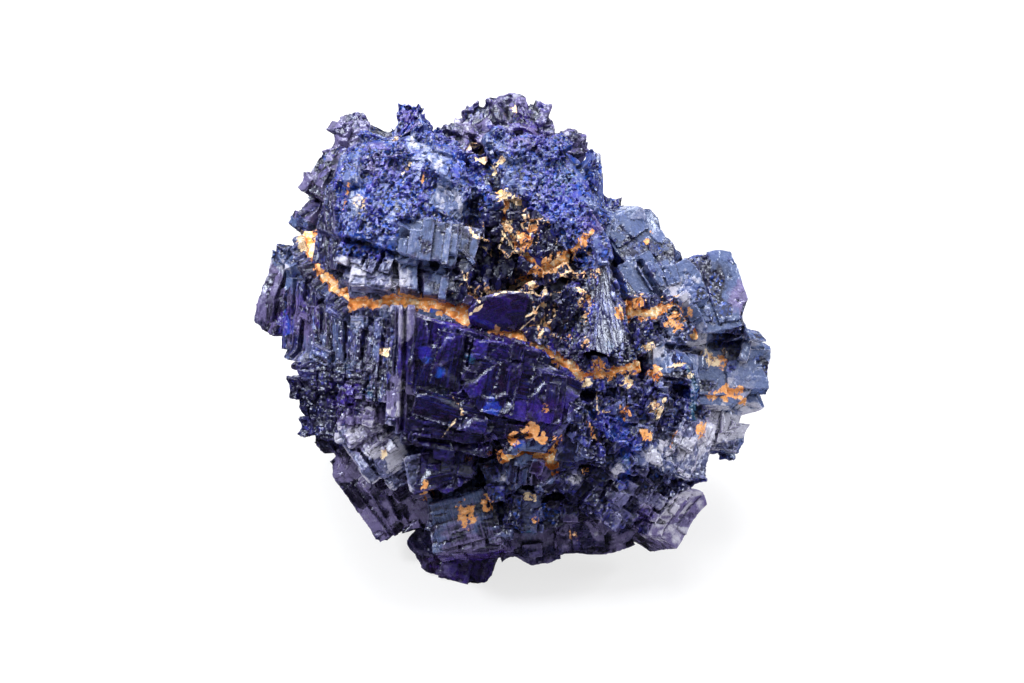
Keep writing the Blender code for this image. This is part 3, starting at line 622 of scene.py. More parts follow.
# Where each habit is on the show face, by its place in the photograph, how far out, and how far it holds
SHOW_HABITS = {
    "sugar": (
        (390, 165, 11.0, 1.3), (430, 195, 12.5, 1.1), (365, 215, 12.0, 1.0), (372, 240, 13.4, 0.8),
        (412, 120, 7.0, 0.8), (548, 175, 10.5, 1.3), (575, 225, 12.0, 0.9), (480, 190, 11.0, 0.8),
    ),
    "slabs": ((430, 248, 14.0, 1.0), (455, 250, 13.6, 0.7), (430, 292, 13.4, 0.8)),
    "silver": (
        (365, 278, 13.2, 0.7), (395, 286, 13.2, 0.7), (712, 428, 5.0, 0.7), (368, 440, 12.8, 0.8),
        (395, 462, 12.4, 0.6), (688, 455, 11.0, 0.8),
    ),
    "striated": ((330, 232, 9.6, 1.0), (372, 355, 14.2, 1.0), (335, 335, 11.4, 1.0), (305, 320, 7.0, 0.9)),
    "lumps": ((352, 128, 3.0, 1.0), (320, 180, 4.0, 1.0), (505, 115, 1.0, 1.2), (560, 130, 3.0, 0.9)),
    "boxwork": (
        (520, 235, 11.8, 0.9), (545, 262, 12.0, 0.8), (500, 268, 12.0, 0.8), (468, 285, 12.6, 0.7),
        (545, 310, 13.4, 0.7),
    ),
    "glossy": ((497, 311, 14.2, 0.75),),
    "streaked": ((577, 305, 14.6, 0.8),),
    "ribbed": ((610, 305, 15.4, 0.8), (530, 458, 14.4, 0.7)),
    "broken": (
        (632, 300, 13.6, 0.8), (655, 325, 11.4, 0.7), (520, 500, 12.0, 0.8), (578, 425, 15.0, 0.9),
        (620, 395, 13.8, 0.9), (622, 440, 14.0, 1.0), (665, 480, 10.6, 0.9), (680, 400, 12.0, 0.8),
    ),
    "plate": (
        (640, 240, 7.0, 1.1), (700, 292, 6.0, 1.3), (735, 380, 5.2, 1.2), (672, 352, 12.0, 0.6),
        (300, 262, 3.0, 0.9),
    ),
    "cleaved": ((450, 370, 16.8, 1.2), (535, 395, 16.8, 1.2), (480, 430, 15.8, 0.9), (447, 463, 13.4, 0.7)),
    "strip": ((405, 330, 15.8, 0.5), (403, 390, 15.8, 0.45)),
    "dark_slab": (
        (275, 305, 2.0, 0.9), (370, 495, 6.4, 1.2), (420, 520, 6.0, 0.9), (455, 560, 6.0, 1.0),
        (550, 550, 8.0, 1.0), (600, 535, 8.8, 0.8),
    ),
    "cubes": (
        (325, 400, 10.0, 1.1), (362, 405, 12.6, 0.8), (612, 485, 12.8, 1.0), (650, 500, 11.2, 0.8),
        (556, 462, 13.8, 0.5),
    ),
    "lined": ((462, 520, 11.4, 1.0),),
    "end_slab": ((678, 518, 10.2, 0.9),),
}

# Round the back the habits follow each other at an even spacing
BACK_HABITS = ("cleaved", "striated", "cubes", "sugar", "plate", "broken", "dark_slab", "lumps",
               "ribbed", "boxwork")
BACK_PLACES = 40
BACK_HALF = (14.2, 13.4, 14.8)
golden = math.pi * (3 - math.sqrt(5))
habit_places = []
for name, places in SHOW_HABITS.items():
    for x, y, out, hold in places:
        nearer = (EYE_DISTANCE - out) / EYE_DISTANCE
        spot = ((x - MIDDLE_X) * PIXEL * nearer, (MIDDLE_Y - y) * PIXEL * nearer, out)
        habit_places.append((name, *spot, hold))
for number in range(BACK_PLACES):
    out = 0.04 - 1.02 * (number + 0.5) / BACK_PLACES
    ring = math.sqrt(1 - out * out)
    spot = (ring * math.cos(golden * number), ring * math.sin(golden * number), out)
    name = BACK_HABITS[number % len(BACK_HABITS)]
    habit_places.append((name, *(side * half for side, half in zip(spot, BACK_HALF)), 1.0))
habit_names = np.array([habit[0] for habit in habit_places])
habit_spots = np.array([habit[1:4] for habit in habit_places])
habit_holds = np.array([habit[4] for habit in habit_places])


def habits_at(points):
    """The number of the habit that holds at each point."""
    wandered = points + 0.5 * np.stack([clouds(points, 1.6, salt) for salt in (91, 92, 93)], axis=1)
    nearest = np.zeros(len(points), int)
    least = np.full(len(points), 1e9)
    for number, (spot, hold) in enumerate(zip(habit_spots, habit_holds)):
        away = np.sqrt(((wandered - spot) ** 2).sum(axis=1)) / hold
        closer = away < least
        nearest[closer] = number
        least[closer] = away[closer]
    return nearest


# Patches that the photograph shows, by their place in it: what they are of, and x, y, radius and strength
# of each
PATCHES = (
    # pale: partly the stone's own grey-blue, partly painted reflection on smooth faces.
    ("pale", (
        (400, 160, 13, 0.35), (452, 200, 26, 0.35), (362, 160, 18, 0.4), (415, 140, 9, 0.4),
        (735, 372, 30, 0.15), (722, 428, 22, 1.3), (690, 448, 28, 1.2), (368, 432, 26, 0.9),
        (398, 458, 10, 1.4), (275, 262, 18, 0.5), (492, 172, 13, -0.5), (476, 205, 10, -0.4),
        (432, 160, 12, 0.25), (590, 205, 12, 0.3), (575, 170, 14, 0.2), (560, 190, 44, -0.1),
        (380, 510, 50, 0.2), (350, 470, 24, 0.3), (640, 500, 44, 0.35), (500, 150, 24, 0.3),
        (530, 470, 26, 0.5), (745, 425, 20, 0.8), (372, 282, 10, 0.4), (388, 286, 8, 0.6),
        (356, 205, 9, 0.6), (340, 262, 8, 0.4), (680, 290, 16, 0.4), (655, 350, 12, 0.4),
        (700, 345, 12, 0.4), (714, 428, 12, 0.8), (672, 335, 9, 0.5), (745, 350, 14, 0.3),
        (290, 250, 12, 0.5), (352, 318, 12, 0.4), (383, 312, 9, 0.7), (612, 472, 8, 0.8),
        (575, 478, 7, 0.8), (680, 515, 34, 0.3), (655, 455, 9, 0.5), (588, 335, 7, 0.7), (558, 455, 6, 0.4),
        (462, 135, 12, 0.6), (600, 150, 8, 0.4), (545, 325, 4, 0.3), (500, 480, 8, 0.4),
    )),
    ("violet", (
        (735, 380, 30, 0.15), (366, 434, 22, 0.5), (470, 140, 12, 0.6), (410, 112, 14, 0.9),
        (592, 225, 12, 1.0), (300, 315, 24, 0.8), (530, 120, 30, 0.5), (345, 400, 24, 0.5),
        (545, 420, 24, 0.2), (470, 560, 40, 0.6), (695, 500, 12, 0.9), (540, 470, 10, 0.8),
        (648, 520, 12, 0.8), (380, 160, 20, 0.4), (740, 300, 16, 0.6),
    )),
    ("blue", (
        (492, 172, 13, -0.5), (476, 205, 10, -0.4), (560, 190, 44, -0.12), (424, 355, 9, 0.6),
        (440, 372, 6, 0.6), (495, 408, 10, 0.9), (450, 330, 16, 0.3), (588, 305, 8, 1.4),
        (618, 430, 12, 1.5), (628, 448, 11, 1.4), (622, 478, 9, 0.9), (600, 420, 10, 0.6),
        (470, 165, 26, 0.3), (560, 200, 30, 0.3), (520, 445, 6, 1.0), (690, 395, 8, 0.6),
        (355, 195, 14, 0.4), (640, 370, 7, 0.5), (285, 325, 10, 0.7),
    )),
    ("teal", (
        (470, 357, 6, 1.0), (560, 180, 20, 0.6), (530, 535, 8, 1.0), (450, 215, 14, 0.4),
        (345, 365, 14, 0.5), (628, 460, 9, 0.7), (372, 392, 12, 0.5), (440, 395, 14, 0.4),
        (610, 345, 8, 0.5), (700, 300, 20, 0.3), (500, 205, 12, 0.4),
    )),
    ("ochre", (
        (516, 440, 6, 1.2), (530, 432, 8, 1.2), (544, 440, 6, 1.1),
    )),
    ("cream", (
        (391, 128, 6, 1.2), (514, 108, 4, 0.6), (471, 145, 4, 1.1), (482, 160, 6, 1.1), (490, 165, 5, 1.0),
        (500, 160, 5, 0.9), (504, 198, 6, 0.8), (518, 200, 5, 0.8), (358, 203, 8, 0.7), (305, 245, 9, 1.0),
        (385, 353, 5, 1.3), (587, 383, 5, 1.2), (627, 382, 7, 1.1), (650, 346, 6, 1.2), (712, 362, 9, 1.0),
        (655, 408, 5, 1.0), (384, 455, 4, 0.8), (705, 355, 6, 0.7), (725, 350, 5, 0.6), (690, 375, 5, 0.7),
        (528, 497, 6, 1.0), (505, 222, 5, 0.7), (488, 248, 5, 0.6),
    )),
    ("ochre", (
        (545, 264, 9, 1.2), (560, 258, 7, 1.1), (525, 240, 7, 1.0), (533, 228, 5, 0.9), (528, 278, 8, 0.9),
        (622, 312, 9, 1.0), (636, 304, 8, 1.0), (648, 240, 5, 0.8), (652, 232, 4, 0.8), (733, 392, 11, 1.2),
        (720, 362, 8, 0.8), (700, 430, 8, 1.0), (712, 395, 6, 0.8), (675, 322, 8, 0.9), (690, 312, 5, 0.7),
        (628, 412, 8, 1.0), (647, 435, 6, 0.9), (545, 408, 4, 0.8), (468, 514, 13, 0.8), (485, 507, 8, 1.0),
        (423, 487, 9, 0.9), (575, 533, 7, 0.55), (535, 520, 5, 0.7), (645, 318, 6, 0.8), (604, 365, 9, 0.8),
        (655, 372, 8, 0.9), (585, 470, 4, 0.6), (556, 440, 5, 0.6),
    )),
)

# Thin veins of clay and the pale strip beside the front slab: what, half-width, strength, and their run
LINES = (
    ("ochre", 3.5, 1.2, (592, 232), (580, 244), (567, 253), (550, 267), (529, 281)),
    ("cream", 1.6, 1.2, (529, 281), (508, 290), (493, 295), (480, 308), (470, 314)),
    ("cream", 1.3, 1.1, (486, 298), (500, 293), (515, 291), (536, 293), (546, 288)),
    ("cream", 1.3, 1.1, (546, 288), (543, 302), (534, 316), (520, 330)),
    ("cream", 1.2, 1.0, (546, 305), (532, 302)), ("cream", 1.2, 1.0, (549, 310), (545, 325), (540, 336)),
    ("cream", 1.3, 1.1, (469, 226), (474, 236), (486, 240)), ("cream", 1.2, 1.0, (482, 247), (493, 249)),
    ("cream", 1.2, 1.0, (500, 229), (508, 240), (517, 251)), ("cream", 1.0, 1.0, (502, 240), (498, 262)),
    ("cream", 1.0, 1.0, (462, 272), (470, 292), (480, 302)), ("cream", 1.0, 1.0, (478, 275), (488, 295)),
    ("cream", 1.0, 1.0, (572, 248), (578, 258)), ("cream", 1.0, 1.0, (580, 244), (588, 254)),
    ("cream", 1.2, 0.9, (410, 162), (403, 173)), ("ochre", 1.2, 0.9, (424, 172), (422, 186)),
    ("ochre", 1.2, 0.9, (349, 182), (343, 210)), ("cream", 1.3, 0.9, (596, 394), (599, 412), (594, 424)),
    ("cream", 1.2, 0.9, (599, 412), (612, 412)), ("ochre", 1.5, 0.8, (588, 420), (594, 438), (600, 444)),
    ("cream", 1.6, 0.9, (652, 372), (672, 366), (688, 362)), ("cream", 1.4, 0.8, (665, 398), (658, 420)),
    ("ochre", 1.5, 0.8, (676, 432), (670, 448)), ("cream", 1.0, 0.7, (452, 395), (462, 412), (440, 440)),
    ("blue", 2.0, 0.9, (430, 309), (470, 317), (510, 332), (545, 352), (572, 375)),
    ("teal", 3.0, 1.2, (688, 365), (694, 385), (695, 425)),
    # The pale strips: partly their own paler grey, partly painted reflection.
    ("pale", 3.0, 0.5, (398, 305), (404, 360), (398, 425)), ("pale", 1.5, 0.7, (590, 512), (615, 528)),
)
CLAY_KINDS = {"ochre": 0.0, "cream": 0.8}
CLAY_THIN = 0.78

# Where the outline of the cluster stands a little further in or out: x, y, reach, and the move to the right
# and down
NUDGES = (
    (388, 118, 30, 6, 14), (430, 112, 16, -7, 3), (492, 108, 22, -3, -8), (542, 112, 28, -6, 11),
    (586, 158, 12, 5, -5), (612, 192, 26, -4, 14), (644, 212, 16, 3, -9), (668, 234, 22, -6, 2),
    (712, 262, 38, 0, -10), (762, 318, 26, -14, 0), (768, 352, 18, 4, 0), (755, 408, 20, 9, 3),
    (742, 448, 30, -6, -6), (715, 458, 24, 0, -6), (700, 492, 20, 8, -6), (665, 552, 50, 0, -4),
    (696, 520, 30, -4, -2), (605, 552, 36, 0, 5), (512, 572, 22, 0, -12), (480, 578, 26, 0, 9),
    (414, 540, 18, -10, 0), (410, 566, 20, 5, -3), (324, 460, 22, 9, 0), (296, 426, 20, 10, 0),
    (298, 367, 20, -15, 0), (268, 325, 24, 0, 7), (265, 268, 34, 6, 0), (280, 248, 18, 0, 6),
    (303, 214, 16, -6, 0), (299, 180, 16, 5, 0), (329, 140, 14, 5, 0),
)

# Deep narrow gaps: half-width, depth in millimetres, and their run
GROOVES = (
    (3.5, 0.7, (346, 240), (380, 251), (420, 263), (456, 272)),
    (2.5, 0.5, (405, 306), (404, 360), (402, 432)), (2.0, 0.4, (395, 262), (398, 292)),
    (2.0, 0.4, (420, 268), (421, 296)), (3.0, 0.6, (612, 262), (628, 300), (634, 340)),
    (3.0, 0.5, (420, 440), (470, 448), (530, 436)), (3.0, 0.6, (640, 262), (664, 300)),
    (3.0, 0.5, (668, 345), (700, 352)), (5.0, 0.6, (478, 148), (491, 172), (496, 190)),
    (2.5, 0.4, (690, 337), (728, 336), (748, 337)),
)


def seen_at(points):
    """Where the camera sees points of the show face, in the photograph's own measure."""
    nearer = EYE_DISTANCE / (EYE_DISTANCE - points[:, 2]) / PIXEL
    return np.stack([MIDDLE_X + points[:, 0] * nearer, MIDDLE_Y - points[:, 1] * nearer], axis=1)


def away_from_line(spots, run):
    """The distance of each spot to a line of straight steps."""
    least = np.full(len(spots), 1e9)
    for start, end in zip(run, run[1:]):
        start, step = np.array(start, float), np.array(end, float) - np.array(start, float)
        share = np.clip(((spots - start) @ step) / (step @ step), 0, 1)
        least = np.minimum(least, np.sqrt(((spots - start - share[:, None] * step) ** 2).sum(axis=1)))
    return least


def marks_on(points, normals, looks):
    """Adds the patches and veins that the photograph shows to the looks of the points."""
    shown = np.flatnonzero((points[:, 2] > -3) & (normals[:, 2] > -0.1))
    spots = seen_at(points[shown])
    wander = clouds(points[shown], 0.9, 31) + 0.8 * clouds(points[shown], 0.3, 32)
    for kind, places in PATCHES:
        ragged = 0.75 if kind in CLAY_KINDS else 0.45
        for x, y, radius, strength in places:
            away = np.hypot(spots[:, 0] - x, spots[:, 1] - y) / radius + ragged * wander
            add_mark(looks, shown, kind, strength * soft_step(-away, -1.3, -0.45))
    for kind, half, strength, *run in LINES:
        away = away_from_line(spots, run) / half + 1.1 * wander
        add_mark(looks, shown, kind, strength * soft_step(-away, -1.2, -0.5))


def add_mark(looks, shown, kind, weight):
    if kind in CLAY_KINDS:
        weight = weight * CLAY_THIN
        stronger = weight > looks["clay"][shown]
        looks["cream"][shown] = np.where(stronger, CLAY_KINDS[kind], looks["cream"][shown])
        looks["clay"][shown] = np.maximum(looks["clay"][shown], weight)
    else:
        looks[kind][shown] += weight


def rows_of(thing, kind):
    """The places or normals of a mesh's points, as rows of three."""
    rows = np.zeros(len(thing.data.vertices) * 3)
    thing.data.vertices.foreach_get(kind, rows)
    return rows.reshape(-1, 3)


LOOK_FIELDS = {"FLOAT": ("value", 1), "FLOAT_VECTOR": ("vector", 3)}


def store(thing, name, values):
    """Keeps a number or a vector for each point, which the material reads."""
    kind = "FLOAT" if values.ndim == 1 else "FLOAT_VECTOR"
    kept = thing.data.attributes.new(name, kind, "POINT")
    kept.data.foreach_set(LOOK_FIELDS[kind][0], values.astype(np.float32).ravel())


def beside_mean(thing, rows):
    """For each point of a mesh, the mean of the rows of the points that it shares an edge with."""
    ends = np.zeros(len(thing.data.edges) * 2, int)
    thing.data.edges.foreach_get("vertices", ends)
    ends = ends.reshape(-1, 2)
    total, met = np.zeros_like(rows), np.zeros(len(rows))
    for first, other in ((0, 1), (1, 0)):
        for axis in range(3):
            total[:, axis] += np.bincount(ends[:, first], rows[ends[:, other], axis], len(rows))
        met += np.bincount(ends[:, first], minlength=len(rows))
    return total / np.maximum(met, 1)[:, None]


def chance_of(number, salt):
    """Another random number from 0 to 1 for each grain, by the grain's own number."""
    whole = np.floor(number * 99999)
    return hashed(np.stack([whole, whole * 0, whole * 0], axis=1), salt)


# How often the ways that the points face are evened out, and how deep a point lies where it looks fully
# sunk
EVEN_ROUNDS = 3
SUNK_DEPTH = 0.03


def weather(thing):
    """Raises the ledges, ribs, cubes and grains on the stone, and notes how each point of it looks."""
    points = rows_of(thing, "co")
    normals = rows_of(thing, "normal")
    for _ in range(EVEN_ROUNDS):
        normals = normals + beside_mean(thing, normals)
        normals /= np.maximum(np.sqrt((normals**2).sum(axis=1)), 1e-6)[:, None]
    face_of = np.array([face_tree.find_nearest(Vector(point))[2] for point in points])
    axes = face_axes[face_of]
    habit_of = habits_at(points)
    habit_here = habit_names[habit_of]
    for name, turn in HABIT_TURNS.items():
        angle = math.radians(turn)
        across, along = (math.cos(angle), math.sin(angle), 0), (-math.sin(angle), math.cos(angle), 0)
        axes[habit_here == name] = (across, along, (0, 0, 1))
    lie = np.einsum("ij,ikj->ik", points, axes)
    count = len(points)
    names = (*HABIT_LOOKS, "teal", "cream", "chance", "tone", "smooth")
    looks = {name: np.zeros(count) for name in names}
    rise = np.zeros(count)
    patchy = clouds(points, 1.7, 71) + 0.5 * clouds(points, 0.7, 72)
    for name, habit in HABITS.items():
        here = habit_here == name
        if not here.any():
            continue
        spots, lies, faces = points[here], lie[here], face_of[here]
        faces = faces * (name not in HABIT_TURNS)
        limit = 0.55 - 1.1 * habit["smooth"]
        smooth = soft_step(patchy[here], limit, limit + 0.2)
        height = np.zeros(len(spots))
        for order, (wide, tall, proud) in enumerate(habit["blocks"]):
            block = bricks(spots, lies, faces, wide, tall, 20 + 5 * order)
            height += proud * (block - 0.5)
            if order == 0:
                looks["chance"][here] = block
        for order, (wide, tall, deep, proud, tilt) in enumerate(habit["cells"]):
            nearest, second, number, offset = grains(lies, (wide, tall, deep), 40 + 10 * order)
            lean = np.stack([chance_of(number, 50 + axis) for axis in range(3)], axis=1) - 0.5
            flatter = 1 - (0.8 if wide < COARSE else 0.3) * smooth
            if wide > BROAD:
                flatter = flatter * np.clip((second - nearest) / BORDER, 0, 1)
            height += flatter * proud * (number - 0.5 + tilt * (offset * lean).sum(axis=1) - 0.4 * nearest)
            if order == 0:
                looks["tone"][here] = number
            if not habit["blocks"]:
                looks["chance"][here] = number
        for place, look in enumerate(HABIT_LOOKS):
            looks[look][here] = habit["look"][place]
        looks["smooth"][here] = smooth
        if "vein" in habit:
            wide, tall, deep, thin = habit["vein"]
            nearest, second, number, offset = grains(lies, (wide, tall, deep), 80)
            veined = soft_step(-(second - nearest), -thin * 1.6, -thin * 0.7)
            veined = veined * soft_step(clouds(spots, 1.3, 83), -0.1, 0.3)
            looks["clay"][here] = np.maximum(looks["clay"][here], veined)
            looks["cream"][here] = 0.4
            height += 0.06 * veined + 0.25 * (chance_of(number, 87) - 0.5)
        rise[here] = height
    pits, _, pit_number, _ = grains(points, (1.0, 1.0, 1.0), 60)
    rise -= 0.4 * np.clip(1 - pits / 0.25, 0, 1) * (pit_number > 0.5) * looks["grainy"]
    ragged = 0.25 * clouds(points, 0.6, 33) + 0.15 * clouds(points, 0.25, 34)
    for route in SEAMS.values():
        for start, end in zip(route, route[1:]):
            away = away_from_line(points, (start[:3], end[:3])) - (start[3] + end[3]) / 2
            looks["clay"] = np.maximum(looks["clay"], 0.85 * soft_step(-away - ragged, -0.4, -0.1))
    spots = seen_at(points)
    for half, depth, *run in GROOVES:
        away = away_from_line(spots, run) / half
        rise -= depth * soft_step(-away, -1.3, -0.3) * (points[:, 2] > 0)
    marks_on(points, normals, looks)
    moved = points + normals * rise[:, None]
    for x, y, reach, right, down in NUDGES:
        share = np.clip(1 - ((spots - (x, y)) ** 2).sum(axis=1) / reach**2, 0, 1) ** 2
        moved[:, 0] += share * right * PIXEL
        moved[:, 1] -= share * down * PIXEL
    thing.data.vertices.foreach_set("co", moved.ravel())
    thing.data.update()
    # How far each point stands out from its neighbours or sinks below them: the material paints highlight
    # where it stands out and shade where it sinks, and gathers clay where it sinks.
    sunk = ((beside_mean(thing, moved) - moved) * normals).sum(axis=1)
    looks["edge"] = np.clip(-sunk / SUNK_DEPTH, -1, 1)
    for name, values in looks.items():
        store(thing, name, values)
    store(thing, "lie", lie)


# The block that cuts the stone, how finely it is divided, and how near to its face a point counts as cut
KNIFE = 56.0
KNIFE_CUTS = 79
KNIFE_NEAR = 0.001


def cut(thing, at, normal):
    """Cuts off all beyond a plane and closes the cut, whose points look like the stone beside them."""
    at, normal = Vector(at), Vector(normal).normalized()
    turn = normal.to_track_quat("Z", "Y").to_euler()
    middle = at + normal * KNIFE / 2
    bpy.ops.mesh.primitive_cube_add(size=KNIFE, location=middle, rotation=turn, calc_uvs=False)
    knife = bpy.context.object
    bpy.ops.object.mode_set(mode="EDIT")
    bpy.ops.mesh.subdivide(number_cuts=KNIFE_CUTS)
    bpy.ops.object.mode_set(mode="OBJECT")
    only(thing)
    trim = thing.modifiers.new("trim", "BOOLEAN")
    trim.solver = "MANIFOLD"
    trim.object = knife
    bpy.ops.object.modifier_apply(modifier="trim")
    bpy.data.objects.remove(knife, do_unlink=True)
    points = rows_of(thing, "co")
    fresh = np.abs((points - np.array(at)) @ np.array(normal)) < KNIFE_NEAR
    beside = KDTree(int((~fresh).sum()))
    for number in np.flatnonzero(~fresh):
        beside.insert(points[number], int(number))
    beside.balance()
    nearest = np.array([beside.find(points[number])[1] for number in np.flatnonzero(fresh)], int)
    for kept in thing.data.attributes:
        if kept.data_type in LOOK_FIELDS and kept.domain == "POINT" and kept.name != "position":
            field, width = LOOK_FIELDS[kept.data_type]
            values = np.zeros(len(points) * width)
            kept.data.foreach_get(field, values)
            values = values.reshape(-1, width)
            values[fresh] = values[nearest]
            kept.data.foreach_set(field, values.ravel())


def evened(thing, name, grain):
    """A copy with an even mesh as fine as grain."""
    even = added(name, thing.data.copy())
    even.data.remesh_voxel_size = grain
    only(even)
    bpy.ops.object.voxel_remesh()
    return even


def settle(thing, slot, *nodes):
    """Puts a finished piece in its place on the floor, on which it rests flat, and hangs it on the part."""
    thing.data.transform(show_frame)
    rows = rows_of(thing, "co")
    rows[:, 2] = np.maximum(rows[:, 2], 0.0)
    thing.data.vertices.foreach_set("co", rows.ravel())
    thing.data.update()
    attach(thing, "root")
    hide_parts(*nodes)


azurite, stone = new_material("azurite")
DEEP = rgb(8, 2, 26)
NAVY = rgb(16, 13, 66)
ROYAL = rgb(28, 32, 152)
COBALT = rgb(12, 68, 172)
VIOLET = rgb(58, 30, 146)
PLUM = rgb(38, 12, 54)
STEEL = rgb(80, 96, 138)
LILAC = rgb(106, 96, 138)
# Near-white silver, laid on only as painted glints and painted reflection.
PAINTED_GLINT = rgb(190, 188, 200)
TEAL = rgb(4, 80, 112)
RUST = rgb(150, 84, 36)
OCHRE = rgb(236, 158, 80)
CREAM = rgb(252, 226, 184)
place = stone.place()
lie = stone.vector("lie")
blue, pale, violet, grainy = (stone.number(name) for name in ("blue", "pale", "violet", "grainy"))
streak, clay, teal, cream = (stone.number(name) for name in ("streak", "clay", "teal", "cream"))
chance, tone, smooth, edge = (stone.number(name) for name in ("chance", "tone", "smooth", "edge"))
broad = stone.node("TexNoise", Vector=place, Scale=380.0, Detail=4.0, Roughness=0.6)
fine = stone.node("TexNoise", Vector=place, Scale=2600.0, Detail=4.0, Roughness=0.7)
speck = stone.node("TexVoronoi", out=1, Vector=place, Scale=5200.0)
speck_red = stone.node("SeparateColor", out=0, Color=speck)
speck_green = stone.node("SeparateColor", out=1, Color=speck)
speck_blue = stone.node("SeparateColor", out=2, Color=speck)
drawn_out = stone.scaled(lie, (9.0, 0.55, 3.0))
lines = stone.node("TexNoise", Vector=drawn_out, Scale=1.0, Detail=3.0, Roughness=0.6)
rough_grain = grainy * (1.0 - smooth * 0.75)
body = stone.mix((broad + chance * 0.4 - 0.55).rise(0.0, 0.4), DEEP, NAVY)
plum_now = violet * 0.7 + broad * 0.8 + (speck_blue - 0.5) * 0.4 - 0.95
body = stone.mix(plum_now.rise(0.0, 0.4) * 0.8, body, PLUM)
shade = (tone - 0.5) * (0.4 + grainy * 0.6)
grit = 0.2 + rough_grain * 0.8
royal_now = blue * 0.9 + (speck_red - 0.5) * grit * 0.6 + shade + (broad - 0.5) * 0.8
body = stone.mix(royal_now.rise(0.3, 0.8), body, ROYAL)
cobalt_now = blue * 0.8 + (speck_green - 0.5) * grit - shade * 1.1 + (fine - 0.5) * 0.6
body = stone.mix(cobalt_now.rise(0.5, 0.95) * 0.9, body, COBALT)
body = stone.mix((teal + (speck_red - 0.5) * grit * 0.8 + (fine - 0.5)).rise(0.35, 0.9) * 0.8, body, TEAL)
violet_now = violet * 0.55 + blue * 0.3 + (speck_blue - 0.5) * grit * 0.7 + shade * 0.7
body = stone.mix(violet_now.rise(0.55, 0.95) * 0.7, body, VIOLET)
# The pale layer, steel-blue and lilac: partly the stone's own weathered grey-blue, partly painted reflection
# of the bright room on smooth faces.
pale_and_sheen_now = pale * (0.6 + smooth * 0.6) + (broad - 0.5) * 0.7 + (chance - 0.5) * 0.3 + shade * 0.6
pale_and_sheen_now = pale_and_sheen_now + (speck_green - 0.5) * rough_grain * 0.5
body = stone.mix(pale_and_sheen_now.rise(0.3, 0.75) * 0.85, body, stone.mix(violet.rise(0.3, 0.8), STEEL, LILAC))
# Painted reflection: the palest faces turn silver, as if they mirrored the bright room.
body = stone.mix((pale_and_sheen_now + (fine - 0.5) * 0.5).rise(0.85, 1.3) * 0.8, body, PAINTED_GLINT)
streak_colour = stone.mix(pale.rise(0.05, 0.4), ROYAL, LILAC)
body = stone.mix((lines - 0.5).rise(0.02, 0.12) * streak * 0.55, body, streak_colour)
body = stone.mix((0.5 - lines).rise(0.02, 0.14) * streak * 0.7, body, DEEP)
# Painted highlight: lighter lilac along convex edges, where the stone stands out from its neighbours.
body = stone.mix((edge + (fine - 0.5)).rise(0.25, 1.0) * (0.08 + pale * 0.4), body, LILAC)
# Painted glints: tiny silver specks on the grainy faces.
body = stone.mix((speck_red * speck_green).rise(0.88, 0.94) * rough_grain, body, PAINTED_GLINT)
# Painted shade: dark dots that stand for the shade inside tiny pits.
holes = stone.node("TexVoronoi", out=0, Vector=place, Scale=2300.0)
painted_pit_shade = (0.32 - holes + (speck_blue - 0.6) * 0.25).rise(0.0, 0.1)
body = stone.mix(painted_pit_shade * (0.06 + rough_grain * 0.8), body, DEEP)
# Painted shade: darker in hollows and creases, where the stone sinks below its neighbours.
body = stone.mix((0.0 - edge).rise(0.15, 0.9) * 0.75, body, DEEP)
crumbly = stone.node("TexNoise", Vector=place, Scale=1500.0, Detail=5.0, Roughness=0.8)
clay_now = clay + (fine - 0.5) * (0.3 + clay * 1.6) + (crumbly - 0.5) * (0.4 + clay * 1.4)
clay_now = (clay_now - edge * (0.1 + clay * 0.4)).rise(0.42, 0.6)
cream_now = cream * 0.7 + (fine - 0.4) * 1.6 + (crumbly - 0.5) * 1.6
clay_body = stone.mix(cream_now.rise(0.15, 0.8), OCHRE, CREAM)
clay_body = stone.mix((0.5 - crumbly).rise(0.0, 0.14) * 0.7, clay_body, RUST)
body = stone.mix(clay_now, body, clay_body)
rough = 0.15 + fine * 0.22 + clay_now * 0.45 + rough_grain * 0.12
bump = stone.node("Bump", Strength=0.5, Distance=0.00006, Height=fine + lines * streak)
facet = stone.node("VectorMath", {"operation": "SUBTRACT"}, n0=speck, n1=(0.5, 0.5, 0.5))
facet = stone.node("VectorMath", {"operation": "SCALE"}, n0=facet, Scale=rough_grain * 0.75 + 0.04)
facet = stone.node("VectorMath", {"operation": "ADD"}, n0=bump, n1=facet)
facet = stone.node("VectorMath", {"operation": "NORMALIZE"}, n0=facet)
shader = stone.node("BsdfPrincipled", Base_Color=body, Roughness=rough, Normal=facet, IOR=1.75,
                    Specular_Tint=(0.80, 0.86, 1.0, 1.0))
stone.node("OutputMaterial", Surface=shader)

# The stone is cut along planes that no one sees: the front from the back, and each along the long seam
FRONT_GRAIN = 0.131
BACK_GRAIN = 0.18
BACK_FROM = 1.5
OVERLAP = 0.2
SPARE = 1.0
seam_at, seam_up = Vector((0.0, 0.6, 0.0)), Vector((0.37, 0.93, 0.0)).normalized()
middle_at, to_right = Vector((-0.6, 0.0, 0.0)), Vector((1.0, -0.25, 0.0)).normalized()
front = evened(cluster, "front", FRONT_GRAIN)
back = evened(cluster, "back", BACK_GRAIN)
bpy.data.objects.remove(cluster, do_unlink=True)
for half, at, normal in ((front, BACK_FROM, -1), (back, BACK_FROM + OVERLAP, 1)):
    cut(half, (0, 0, at + normal * SPARE), (0, 0, normal))
    weather(half)
    cut(half, (0, 0, at), (0, 0, normal))
PIECES = (
    ("left_head", front, (1, -1)), ("right_head", front, (1, 1)),
    ("left_flank", front, (-1, -1)), ("right_blocks", front, (-1, 1)),
    ("back_upper", back, (1, 0)), ("back_lower", back, (-1, 0)),
)
for name, half, (up, right) in PIECES:
    piece = added(name, half.data.copy())
    cut(piece, seam_at, seam_up * -up)
    if right:
        cut(piece, middle_at, to_right * -right)
    piece.data.materials.clear()
    piece.data.materials.append(azurite)
    settle(piece, "azurite", "azurite_crystals")
for half in (front, back):
    bpy.data.objects.remove(half, do_unlink=True)
